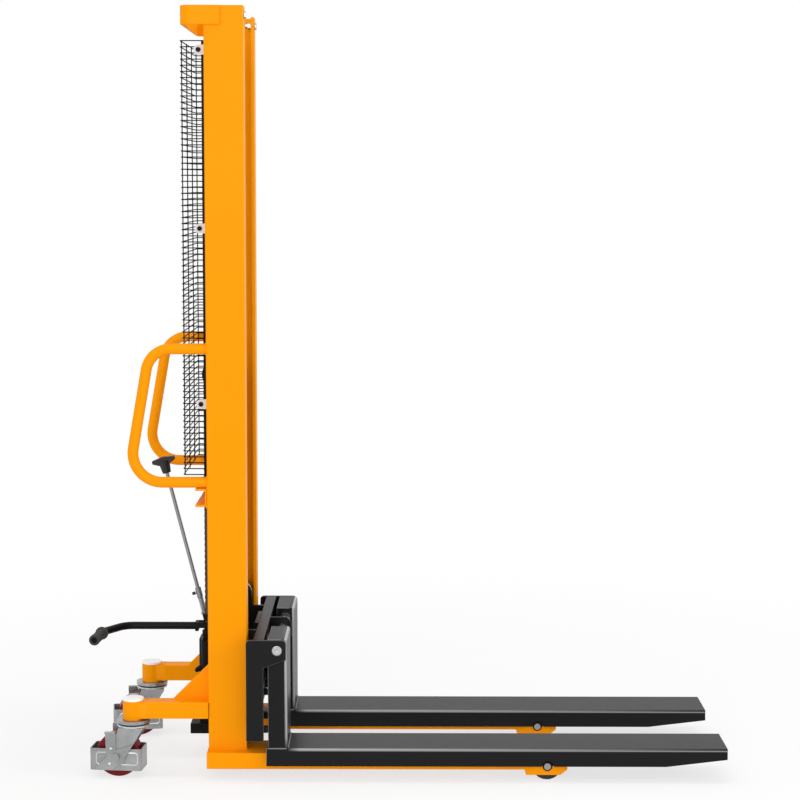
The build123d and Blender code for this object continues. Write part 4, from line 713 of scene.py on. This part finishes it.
def link_shape(name, plate, joint_radius, joint):
    """One link: a plate on each side and a round joint at each end, sizes along Y in millimetres."""
    shell = bmesh.new()
    half = CHAIN_PITCH / 2
    arc = [math.radians(turn) for turn in PLATE_ARC]
    right = [(half + PLATE_HALF * math.cos(turn), PLATE_HALF * math.sin(turn)) for turn in arc]
    outline = [(0.0, -PLATE_WAIST)] + right + [(0.0, PLATE_WAIST)] + [(-x, -z) for x, z in right]
    for side in SIDES:
        low, high = sorted((side * plate[0], side * plate[1]))
        prism(shell, outline, low, high)
    turns = round_turns(BAR_SIDES)
    for middle in (-half, half):
        circle = [(middle + joint_radius * math.cos(turn), joint_radius * math.sin(turn)) for turn in turns]
        prism(shell, circle, -joint, joint)
    bmesh.ops.recalc_face_normals(shell, faces=shell.faces)
    return bpy.data.objects.new(name, as_mesh(shell, name))


def chain_tree():
    tree = Tree("chain", Links="Int", Slim="Float", Outer="Object", Inner="Object")
    line = {"Curve": tree.value("Geometry"), "Count": tree.value("Links")}
    path = tree.add("GeometryNodeResampleCurve", {"mode": "COUNT"}, line)
    along = {"Vector": tree.add("GeometryNodeInputTangent")}
    turn = tree.add("FunctionNodeAlignRotationToVector", {"axis": "X", "pivot_axis": "Y"}, along)
    number = tree.add("GeometryNodeInputIndex")
    odd = tree.add("ShaderNodeMath", {"operation": "MODULO"}, {0: number, 1: 2.0})
    links = [
        tree.put(path, tree.shape(label), Selection=chosen, Rotation=turn, Scale=tree.value("Slim"))
        for label, chosen in (("Outer", 1 - odd), ("Inner", odd))
    ]
    return tree.close(tree.add("GeometryNodeJoinGeometry", None, {"Geometry": links}))


CHAIN_TREE = chain_tree()
OUTER_LINK = link_shape("outer_link", plate=(4.2, 5.4), joint_radius=2.7, joint=6.0)
INNER_LINK = link_shape("inner_link", plate=(2.7, 4.0), joint_radius=4.7, joint=2.7)


def chain(name, line, links, body, nodes=(), slim=1.0):
    """Both chains along a line of (x, z) points, with a whole number of links."""
    shapes = {"Outer": OUTER_LINK, "Inner": INNER_LINK}
    meshes = []
    for side in SIDES:
        curve = polyline(name, [[(x, side * CHAIN_OUT, z) for x, z in line]])
        meshes.append(grow(curve, CHAIN_TREE, Links=links, Slim=slim, Finish=chain_steel, **shapes))
    mesh = join(name, meshes, chain_steel, angle=30)
    return add_piece(name, mesh, body, "black_metal", *nodes)


def upright_run(name, x, low, high, body, nodes=(), slim=1.0):
    """Both chains between two heights, drawn from the centre of the first link to that of the last."""
    links = round((high - low) / CHAIN_PITCH)
    half = (high - low) / links / 2
    return chain(name, [(x, low + half), (x, high - half)], links, body, nodes, slim)


front = upright_run("chain_front", FRONT_X, FRONT_FOOT, PULLEY_Z, "ram", ["chain_front_runs"])
spot(FRONT_X, 0, PULLEY_Z)
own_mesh(front)
upright_run("chain_rear_rising", REAR_X, REAR_FOOT - HIDDEN_END, PULLEY_Z, "ram", ["chain_rear_runs"])
upright_run("chain_rear_fixed", REAR_X, REAR_FOOT, PULLEY_Z + SPARE_END, "chassis", slim=FIXED_SLIM)
middle_foot = PULLEY_Z - MIDDLE_LENGTH
middle = upright_run("chain_rear_middle", REAR_X, middle_foot, PULLEY_Z, "chassis", slim=MIDDLE_SLIM)
middle_anchor = PULLEY_Z + MIDDLE_RISE / (1 - MIDDLE_KEEP)
spot(REAR_X, 0, middle_anchor)
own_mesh(middle)
WRAP_LINKS = round(math.pi * PULLEY_RADIUS / CHAIN_PITCH)
wrap = []
for index in range(WRAP_LINKS):
    turn = math.pi * (1 - (index + 0.5) / WRAP_LINKS)
    wrap.append((PULLEY_X + PULLEY_RADIUS * math.cos(turn), PULLEY_Z + PULLEY_RADIUS * math.sin(turn)))
chain("chain_wrap", wrap, WRAP_LINKS, "ram", ["chain_wraps"])
print("front run", len(front.data.polygons), "faces, wrap", WRAP_LINKS, "links")

# %% [markdown]
# ## Springs
# A spring lifts the pump plunger again, and a stiff one couples the release rod to its valve. Both are wound
# with closed ends: the first and last turns lie flat on the next, so the spring stands square. The wire tree
# gives the helix its round section.

# %% Wind the springs
SPRING_STEPS = 18
CLOSED_TURN = 0.75
PUMP_SPRING_FOOT = (-120.0, -42.0, 324.3)
PUMP_SPRING_LENGTH = 17.4
PUMP_WIRE = 2.5
RELEASE_FOOT = Vector((-132.0, 22.0, 383.0))
RELEASE_TOP = Vector((-230.0, 22.0, 766.0))
RELEASE_WAY = (RELEASE_TOP - RELEASE_FOOT).normalized()
RELEASE_START = 2.3
RELEASE_WIRE = 2.4


def helix(foot, way, radius, wire_size, turns, length):
    """Points of a coil with closed ends, from its foot along a direction, in millimetres."""
    foot, way = Vector(foot), Vector(way).normalized()
    across, other = square_to(way)
    total = turns + 2 * CLOSED_TURN
    climb = (length - wire_size - 2 * CLOSED_TURN * wire_size) / turns
    points = []
    for index in range(round(total * SPRING_STEPS) + 1):
        turn = index / SPRING_STEPS
        closed = min(turn, CLOSED_TURN) + max(turn - turns - CLOSED_TURN, 0.0)
        rise = wire_size / 2 + closed * wire_size + (turn - closed) * climb
        angle = 2 * math.pi * turn
        points.append(foot + way * rise + (across * math.cos(angle) + other * math.sin(angle)) * radius)
    return points


def spring(name, points, wire_size, node, finish):
    """Wire along the points of a coil, which stands for a CAD node."""
    mesh = smoothed(wire([points], wire_size / 2, finish, sides=BAR_SIDES), angle=60)
    return add_piece(name, mesh, BODY_OF[node], NODE_SLOT[node], node)


pump_coil = helix(
    PUMP_SPRING_FOOT, (0, 0, 1), radius=11.0, wire_size=PUMP_WIRE, turns=2.4, length=PUMP_SPRING_LENGTH
)
pump_spring = spring("pump_spring_coil", pump_coil, PUMP_WIRE, "pump_spring", black_paint)
spot(*PUMP_SPRING_FOOT)
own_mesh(pump_spring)
release_start = RELEASE_FOOT + RELEASE_WAY * RELEASE_START
release_coil = helix(release_start, RELEASE_WAY, radius=6.4, wire_size=RELEASE_WIRE, turns=10, length=43.4)
spring("release_spring_coil", release_coil, RELEASE_WIRE, "release_spring", spring_steel)
print("springs wound:", len(pump_coil), "and", len(release_coil), "points")

# %% [markdown]
# ## Turned shapes
# The grip, seals, rivets and screw heads are all turned: a profile goes round an axis. `turned` takes the
# profile as distances along the axis and radii, and closes it at the axis or on itself.

# %% The pedal grip
GRIP_START = Vector((-386.0, -120.0, 362.0))
GRIP_END = Vector((-395.0, -217.0, 362.0))
GRIP_WAY = (GRIP_END - GRIP_START).normalized()
GRIP_LENGTH = 82.0
GRIP_RIBS = 8
RIB_START = 9.0
RIB_PITCH = 8.5
SEAM_REACH = 0.001


def skin(name, rings, loop):
    """A mesh through rings of points, each ring joined to the next."""
    shell = bmesh.new()
    rows = [[shell.verts.new(place) for place in ring] for ring in rings]
    following_rows = rows[1:] + rows[:1] if loop else rows[1:]
    for row, following in zip(rows, following_rows):
        for index in range(len(row)):
            after = (index + 1) % len(row)
            shell.faces.new((row[index], row[after], following[after], following[index]))
    bmesh.ops.remove_doubles(shell, verts=shell.verts, dist=SEAM_REACH)
    bmesh.ops.recalc_face_normals(shell, faces=shell.faces)
    return as_mesh(shell, name)


def turned(name, profile, foot, way, sides=32, loop=False):
    """A profile of (distance, radius) points in millimetres, turned about an axis."""
    way = Vector(way).normalized()
    across, other = square_to(way)
    spokes = [across * math.cos(turn) + other * math.sin(turn) for turn in round_turns(sides)]
    rings = []
    for along, radius in profile:
        middle = Vector(foot) + way * along
        rings.append([middle + spoke * radius for spoke in spokes])
    return skin(name, rings, loop)


def in_place(mesh, finish):
    """A mesh in millimetres off the mast's face, moved to its place in metres."""
    mesh.transform(Matrix.Translation(spot(0, 0, 0)) @ Matrix.Scale(MM, 4))
    return smoothed(coat_with(mesh, finish))


def grip_profile():
    """A flange, eight ribs and an end bead outside, and the bore for the lever inside."""
    outer = [(0.0, 15.6), (0.8, 17.0), (5.2, 17.0), (6.6, 15.4), (7.6, 13.4)]
    for rib in range(GRIP_RIBS):
        start = RIB_START + rib * RIB_PITCH
        outer += [(start, 12.7), (start + 1.6, 13.5), (start + 6.4, 13.5), (start + 7.6, 12.7)]
    outer += [(78.6, 13.2), (80.0, 14.2), (85.6, 14.2), (86.6, 13.6), (87.0, 12.6)]
    inner = [(87.0, 8.4), (86.4, 7.8), (82.1, 7.8), (82.1, 10.0), (0.0, 10.0)]
    return outer + inner


grip_foot = GRIP_END - GRIP_WAY * GRIP_LENGTH
grip_mesh = turned("pedal_grip_sleeve", grip_profile(), grip_foot, GRIP_WAY, loop=True)
grip = add_piece("pedal_grip_sleeve", in_place(grip_mesh, grip_rubber), "pedal", "rubber", "pedal_grip")
print("grip", len(grip.data.polygons), "faces")

# %% [markdown]
# ## Small fasteners
# Screws and rivets repeat all over the truck. One tree puts a small shape on every point of a cloud and
# turns it to the direction that the point carries, so a fastener is one turned shape and a list of places.
# The guard clamps have black screws, black plates keep the axles of the load rollers and paint the shade in
# the forks' notches round them, the pump's foot is bolted, and a cap covers the screw on the release sleeve.

# %% Fit the fasteners
HEAD_SIDES = 12
CAP_SIDES = 16
LOAD_AXLE = (781.0, 40.0)
# The black plates behind the load axles' heads, partly a real keeper and partly painted shade in the forks'
# notches.
SHADE_KEEPER_HOLE = 9.2
SHADE_KEEPER_LOW = 12.5
SHADE_KEEPER_HIGH = 17.6
SHADE_KEEPER_STEP = 0.1
SHADE_KEEPER_WALL = 3.0
SHADE_KEEPER_SIDES = 40
SHADE_KEEPER_OUTER = 257.0
SHADE_KEEPER_INNER = 133.0
CLAMP_X = -116.0
CLAMP_OUT = 196.2
CLAMP_HEIGHTS = (1878.0, 1427.0, 976.0)
FOOT_X = (-140.0, -30.0)
FOOT_OUT = 45.0
FOOT_Z = 80.0
SCREW_FOOT = Vector((-146.6, 22.0, 440.2))
SCREW_TIP = Vector((-163.1, 22.0, 436.0))
SCREW_WAY = (SCREW_TIP - SCREW_FOOT).normalized()
SCREW_CAP = [(-7.0, 0), (-7.0, 3.6), (-6.2, 4.4), (0.0, 4.4), (1.4, 3.2), (1.4, 0)]


def fastener_tree():
    tree = Tree("fasteners", Shape="Object")
    vector = {"data_type": "FLOAT_VECTOR"}
    facing = tree.add("GeometryNodeInputNamedAttribute", vector, {"Name": "facing"}, "Attribute")
    turn = tree.add("FunctionNodeAlignRotationToVector", {"axis": "Z"}, {"Vector": facing})
    return tree.close(tree.put(tree.value("Geometry"), tree.shape("Shape"), Rotation=turn))


FASTENER_TREE = fastener_tree()


def head_shape(name, profile, sides=HEAD_SIDES):
    """A turned head about Z, in metres, at the origin."""
    mesh = turned(name, profile, (0, 0, 0), (0, 0, 1), sides)
    mesh.transform(Matrix.Scale(MM, 4))
    return bpy.data.objects.new(name, mesh)


def points_facing(places):
    """A cloud of points in millimetres, each with the direction that it faces."""
    cloud = bpy.data.meshes.new("places")
    cloud.from_pydata([spot(*place) for place, _ in places], [], [])
    facing = cloud.attributes.new("facing", "FLOAT_VECTOR", "POINT")
    for item, (_, way) in zip(facing.data, places):
        item.vector = way
    return bpy.data.objects.new("places", cloud)


def fasteners(shape, places, finish):
    return grow(points_facing(places), FASTENER_TREE, Shape=shape, Finish=finish)


def shade_keeper(y, way):
    """The black plate behind a load axle's head, which also paints the shade in the fork's notch: deep above,
    where the fork covers it, and slim below.
    """
    turns = round_turns(SHADE_KEEPER_SIDES)
    reach = [SHADE_KEEPER_HIGH if math.sin(turn) > SHADE_KEEPER_STEP else SHADE_KEEPER_LOW for turn in turns]
    hole = [SHADE_KEEPER_HOLE] * SHADE_KEEPER_SIDES
    rings = []
    for depth, sizes in ((0, hole), (0, reach), (SHADE_KEEPER_WALL, reach), (SHADE_KEEPER_WALL, hole)):
        places = [(size * math.cos(turn), size * math.sin(turn)) for size, turn in zip(sizes, turns)]
        rings.append([(LOAD_AXLE[0] + x, y + way * depth, LOAD_AXLE[1] + z) for x, z in places])
    return in_place(skin("shade_keeper", rings, True), black_paint)


socket_profile = [(-1, 0), (-1, 6.2), (3.7, 6.2), (4.5, 5.4), (4.5, 2.6), (3.5, 2.3), (3.5, 0)]
rivet_profile = [(-0.5, 0), (-0.5, 4.2), (0.6, 4.2), (1.8, 3.2), (2.6, 1.5), (2.8, 0)]
hex_profile = [(-0.5, 0), (-0.5, 7.2), (4.0, 7.2), (5.0, 6.2), (5.0, 0)]
SOCKET_HEAD = head_shape("socket_head", socket_profile)
RIVET_HEAD = head_shape("rivet_head", rivet_profile)
HEX_HEAD = head_shape("hex_head", hex_profile, sides=6)
clamp_places = [((CLAMP_X, side * CLAMP_OUT, z), (0, side, 0)) for side in SIDES for z in CLAMP_HEIGHTS]
foot_places = [((x, side * FOOT_OUT, FOOT_Z), (0, side, 0)) for side in SIDES for x in FOOT_X]
screws = fasteners(SOCKET_HEAD, clamp_places, black_paint)
# Black plates that keep the load axles and paint the shade round their heads.
shade_keepers = [shade_keeper(side * SHADE_KEEPER_OUTER, side) for side in SIDES]
shade_keepers += [shade_keeper(side * SHADE_KEEPER_INNER, -side) for side in SIDES]
bolts = fasteners(HEX_HEAD, foot_places, black_paint)
dark_heads = join("dark_fasteners", [screws, *shade_keepers, bolts], black_paint)
dark_fasteners = add_piece("dark_fasteners", dark_heads, "chassis", "black_metal")
print("fasteners", len(dark_fasteners.data.polygons), "faces")
cap_mesh = turned("release_screw_cap", SCREW_CAP, SCREW_TIP, SCREW_WAY, CAP_SIDES)
add_piece("release_screw_cap", in_place(cap_mesh, black_nylon), "release", "nylon")

# %% [markdown]
# ## Castor trim
# The toe guards are pressed sheet with an embossed rectangle on each side, and their brackets are riveted on.
# Under the swivel disc the ball race shows as a dark seal over a second, thinner flange; the seal also paints
# the shade in the gap there. The emboss, the rivets and the flange are a paler zinc, a painted highlight
# along them. Each castor stands a little turned, so its trim is written in the castor's own directions and
# turned with it.

# %% Trim the castors
CASTOR_TURN = {1: 8.0, -1: -6.0}
CASTOR_AXLE_X = -38.0
RING_SIDE = 36.0
BRACKET_FACE = 43.0
EMBOSS_X = (CASTOR_AXLE_X - 53.0, CASTOR_AXLE_X + 56.0)
EMBOSS_Z = (36.0, 68.0)
EMBOSS_CUT = 5.0
EMBOSS_WIRE = 1.8
RIVETS = [(CASTOR_AXLE_X - 13.0, 80.0), (CASTOR_AXLE_X - 17.0, 40.0)]
FLANGE = [(133.8, 38), (133.8, 41.6), (134.6, 42.5), (137.6, 42.5), (138.4, 41.6), (138.4, 38)]
# The seal, black, partly a real seal and partly painted shade in the gap under the swivel disc.
SEAL_AND_SHADE = [(138.5, 38), (138.5, 40.9), (142.6, 40.9), (142.6, 38)]
RACE_SIDES = 48


def castor_way(side, x, y, z):
    """A direction in a castor's own frame, as one of the truck's."""
    return turn_about("Z", CASTOR_TURN[side]) @ Vector((x, y, z))


def castor_spot(side, *place):
    """A place off the foot of a castor's stem, in its own frame, as one of the truck's."""
    return Vector((CASTOR_STEM[0], side * CASTOR_STEM[1], 0)) + castor_way(side, *place)


def emboss_path(side, y):
    """The embossed rectangle with its corners cut, on one side of a toe guard."""
    (rear, front), (low, high), cut = EMBOSS_X, EMBOSS_Z, EMBOSS_CUT
    path = [(rear, low + cut), (rear + cut, low), (front - cut, low), (front, low + cut)]
    path += [(front, high - cut), (front - cut, high), (rear + cut, high), (rear, high - cut)]
    return [castor_spot(side, x, y, z) for x, z in path]


def race_ring(name, profile, side, finish):
    """A ring of the swivel's ball race, turned about a castor's stem."""
    foot = castor_spot(side, 0, 0, 0)
    return in_place(turned(name, profile, foot, (0, 0, 1), RACE_SIDES, True), finish)


def castor_trim(side, body):
    loops = [emboss_path(side, face * RING_SIDE) for face in SIDES]
    rivets = []
    for face in SIDES:
        way = castor_way(side, 0, face, 0)
        rivets += [(castor_spot(side, x, face * BRACKET_FACE, z), way) for x, z in RIVETS]
    # The emboss, rivets and flange take the paler zinc of a painted highlight.
    parts = [
        wire(loops, EMBOSS_WIRE, bright_zinc, sides=BAR_SIDES, closed=True),
        fasteners(RIVET_HEAD, rivets, bright_zinc),
        race_ring("flange", FLANGE, side, bright_zinc),
    ]
    add_piece(body + "_trim", join(body + "_trim", parts, bright_zinc), body, "zinc")
    # The black seal is partly a real seal and partly painted shade in the gap under the swivel disc.
    add_piece(body + "_seal", race_ring(body + "_seal", SEAL_AND_SHADE, side, black_nylon), body, "nylon")


castor_trim(1, "castor_left")
castor_trim(-1, "castor_right")
print("castors trimmed")

# %% [markdown]
# ## Weld beads
# The frame is welded plate, and welding leaves a row of overlapping ripples wherever two plates meet. The
# tree walks along a seam in small steps and drops a ball at each, half sunk in the plates, a little larger
# or smaller at random but the same on every run. The paint goes over the beads, so they take the finish of
# their plates. Seams are listed for the left side and mirrored to the right.

# %% Lay the weld beads
BEAD_RADIUS = 2.6
FORK_BEAD_RADIUS = 2.0
BEAD_SPACING = 1.5
BEAD_SIZES = (0.8, 1.15)
BEAD_SEED = 3
# Fork weld beads take a painted highlight of this strength.
WELD_PAINTED_HIGHLIGHT = 0.4
FRAME_SEAMS = [
    [(-59.5, 226.5, 1941), (-59.5, 226.5, 1984)],
    [(-98, 225.6, 73.4), (-2, 225.6, 73.4)],
    [(0.4, 221, 73.4), (0.4, 169, 73.4)],
    [(-100.4, 223, 199.4), (-100.4, 190, 199.4)],
    [(-194, 188.4, 199.4), (-102, 188.4, 199.4)],
    [(-100.5, 188.4, 202), (-100.5, 188.4, 290)],
    [(-100.4, 168, 711.6), (-100.4, 222, 711.6)],
    [(-100.4, 168, 760.4), (-100.4, 222, 760.4)],
]
FORK_SEAMS = [
    [(109.0, 124, 90.6), (109.0, 266, 90.6)],
    [(60, 115.4, 90), (104, 115.4, 90)],
    [(60, 274.6, 90), (104, 274.6, 90)],
]
CARRIAGE_SEAM = [(48.4, 276.6, 333), (48.4, 276.6, 374)]
HANDLE_ENDS = [(-100.6, 210, 775.0), (-100.6, 210, 1120.0)]
HANDLE_RADIUS = 14.2
RING_STEPS = 24


def bead_tree():
    tree = Tree("weld_bead", Radius="Float", Spacing="Float", Seed="Int")
    line = {"Curve": tree.value("Geometry"), "Length": tree.value("Spacing")}
    path = tree.add("GeometryNodeResampleCurve", {"mode": "LENGTH"}, line)
    ball = {"Segments": 6, "Rings": 4, "Radius": tree.value("Radius")}
    blob = tree.add("GeometryNodeMeshUVSphere", None, ball, "Mesh")
    limits = {2: BEAD_SIZES[0], 3: BEAD_SIZES[1], "Seed": tree.value("Seed")}
    size = tree.add("FunctionNodeRandomValue", {"data_type": "FLOAT"}, limits, 1)
    return tree.close(tree.put(path, blob, Scale=size))


BEAD_TREE = bead_tree()


def beads(name, seams, finish, body, slot, radius=BEAD_RADIUS):
    """A row of beads along each seam, as one piece."""
    sizes = {"Radius": radius * MM, "Spacing": BEAD_SPACING * MM, "Seed": BEAD_SEED}
    mesh = grow(polyline(name, seams), BEAD_TREE, Finish=finish, **sizes)
    return add_piece(name, smoothed(mesh, angle=80), body, slot)


def ring_path(x, y, z):
    """A closed ring in the YZ plane, round the end of a handle."""
    turns = [*round_turns(RING_STEPS), 2 * math.pi]
    return [(x, y + HANDLE_RADIUS * math.cos(turn), z + HANDLE_RADIUS * math.sin(turn)) for turn in turns]


def on_side(side, places):
    return [(x, side * y, z) for x, y, z in places]


frame_seams = []
for side in SIDES:
    frame_seams += [on_side(side, seam) for seam in FRAME_SEAMS]
    frame_seams += [ring_path(*end) for end in on_side(side, HANDLE_ENDS)]
beads("frame_welds", frame_seams, orange_paint, "chassis", "frame_paint")
for side, body in zip(SIDES, ("fork_right", "fork_left")):
    seams = [on_side(side, seam) for seam in FORK_SEAMS]
    welds = beads(body + "_welds", seams, dark_paint, body, "dark_paint", FORK_BEAD_RADIUS)
    # A painted highlight over the whole of each fork's weld beads.
    rim = welds.data.attributes.new("rim", "FLOAT", "POINT")
    for item in rim.data:
        item.value = WELD_PAINTED_HIGHLIGHT
carriage_seams = [on_side(side, CARRIAGE_SEAM) for side in SIDES]
beads("carriage_welds", carriage_seams, dark_paint, "carriage", "dark_paint")
print("weld seams on the frame", len(frame_seams))

# %% [markdown]
# ## Floor, light and camera
# The floor is a wide pale sheet and the world is white, so the truck stands in a plain studio. The floor
# shows the camera a mix of its lit colour and plain white, with more white further off, which keeps the
# truck's shadow but loses the horizon. The camera stands far off, level with the upper mast, with a long
# lens, looking slightly down.

# %% Studio
WHITE = (1, 1, 1, 1)
WORLD_LIGHT = 0.72
FLOOR_GREY = (0.86, 0.86, 0.86, 1)
FLOOR_REACH = 30.0
FLOOR_NEAR = 1.0
FLOOR_FAR = 2.6
FLOOR_WHITE = 0.72
CAMERA_PLACE = spot(390.8, -5441.2, 1553.3)
CAMERA_PITCH = 6.151
CAMERA_YAW = 0.062
CAMERA_ROLL = 0.134
CAMERA_LENS = 92.21
SENSOR = 36.0


def seen_by(board, *kinds):
    """One for rays of these kinds, and nought for others."""
    first, *others = [board.add("ShaderNodeLightPath", output=kind) for kind in kinds]
    return board.add("ShaderNodeClamp", None, {"Value": sum(others, start=first)})


def empty_board(owner):
    """A board on the cleared node tree of a world or a material."""
    owner.use_nodes = True
    owner.node_tree.nodes.clear()
    return Board(owner.node_tree)


def white_world():
    world = bpy.data.worlds.new("studio_white")
    board = empty_board(world)
    seen = seen_by(board, "Is Camera Ray", "Is Glossy Ray", "Is Transmission Ray")
    plain = board.add("ShaderNodeBackground", None, {"Color": WHITE, "Strength": WORLD_LIGHT})
    white = board.add("ShaderNodeBackground", None, {"Color": WHITE, "Strength": 1.0})
    mixed = board.add("ShaderNodeMixShader", None, {0: seen, 1: plain, 2: white})
    board.add("ShaderNodeOutputWorld", None, {"Surface": mixed})
    bpy.context.scene.world = world


def pale_floor():
    """A sheet that shows the camera more of plain white further from the truck."""
    material = bpy.data.materials.new("floor_white")
    board = empty_board(material)
    seen = seen_by(board, "Is Camera Ray", "Is Glossy Ray")
    place = board.add("ShaderNodeTexCoord", output="Object")
    away = board.add("ShaderNodeVectorMath", {"operation": "LENGTH"}, {0: place}, "Value")
    limits = {1: FLOOR_NEAR, 2: FLOOR_FAR, 3: FLOOR_WHITE, 4: 1.0}
    far = board.add("ShaderNodeMapRange", None, {0: away, **limits})
    lit = board.add("ShaderNodeBsdfDiffuse", None, {"Color": FLOOR_GREY})
    white = board.add("ShaderNodeEmission", None, {"Color": WHITE, "Strength": 1.0})
    mixed = board.add("ShaderNodeMixShader", None, {0: seen * far, 1: lit, 2: white})
    board.add("ShaderNodeOutputMaterial", None, {"Surface": mixed})
    sheet = bpy.data.meshes.new("floor")
    corners = [(-1, -1, 0), (1, -1, 0), (1, 1, 0), (-1, 1, 0)]
    sheet.from_pydata([Vector(corner) * FLOOR_REACH for corner in corners], [], [(0, 1, 2, 3)])
    sheet.materials.append(material)
    floor = show("floor", sheet)


def soft_light(name, place, target, size, power):
    lamp = bpy.data.lights.new(name, "AREA")
    lamp.shape = "RECTANGLE"
    lamp.size, lamp.size_y = size
    lamp.energy = power
    light = show(name, lamp)
    light.location = place
    light.rotation_euler = (Vector(target) - Vector(place)).to_track_quat("-Z", "Y").to_euler()


white_world()
pale_floor()
soft_light("key", place=(-2.2, -8.5, 3.2), target=(0.0, 0.0, 0.9), size=(4.0, 4.0), power=215)
soft_light("front", place=(5.0, -2.6, 2.4), target=(0.0, 0.0, 0.9), size=(2.0, 2.0), power=60)
soft_light("top", place=(0.4, -0.3, 4.8), target=(0.4, -0.2, 0.0), size=(3.2, 0.8), power=60)
bpy.context.scene.view_settings.view_transform = "Standard"
lens = bpy.data.cameras.new("camera")
lens.sensor_width = SENSOR
lens.lens = CAMERA_LENS
camera = show("camera", lens)
camera.location = CAMERA_PLACE
aim = turn_about("Z", -CAMERA_YAW) @ turn_about("X", 90 - CAMERA_PITCH) @ turn_about("Z", CAMERA_ROLL)
camera.rotation_euler = aim.to_euler()
bpy.context.scene.camera = camera
print("camera at", [round(value, 3) for value in camera.location])

# %% Finish
bpy.context.view_layer.update()
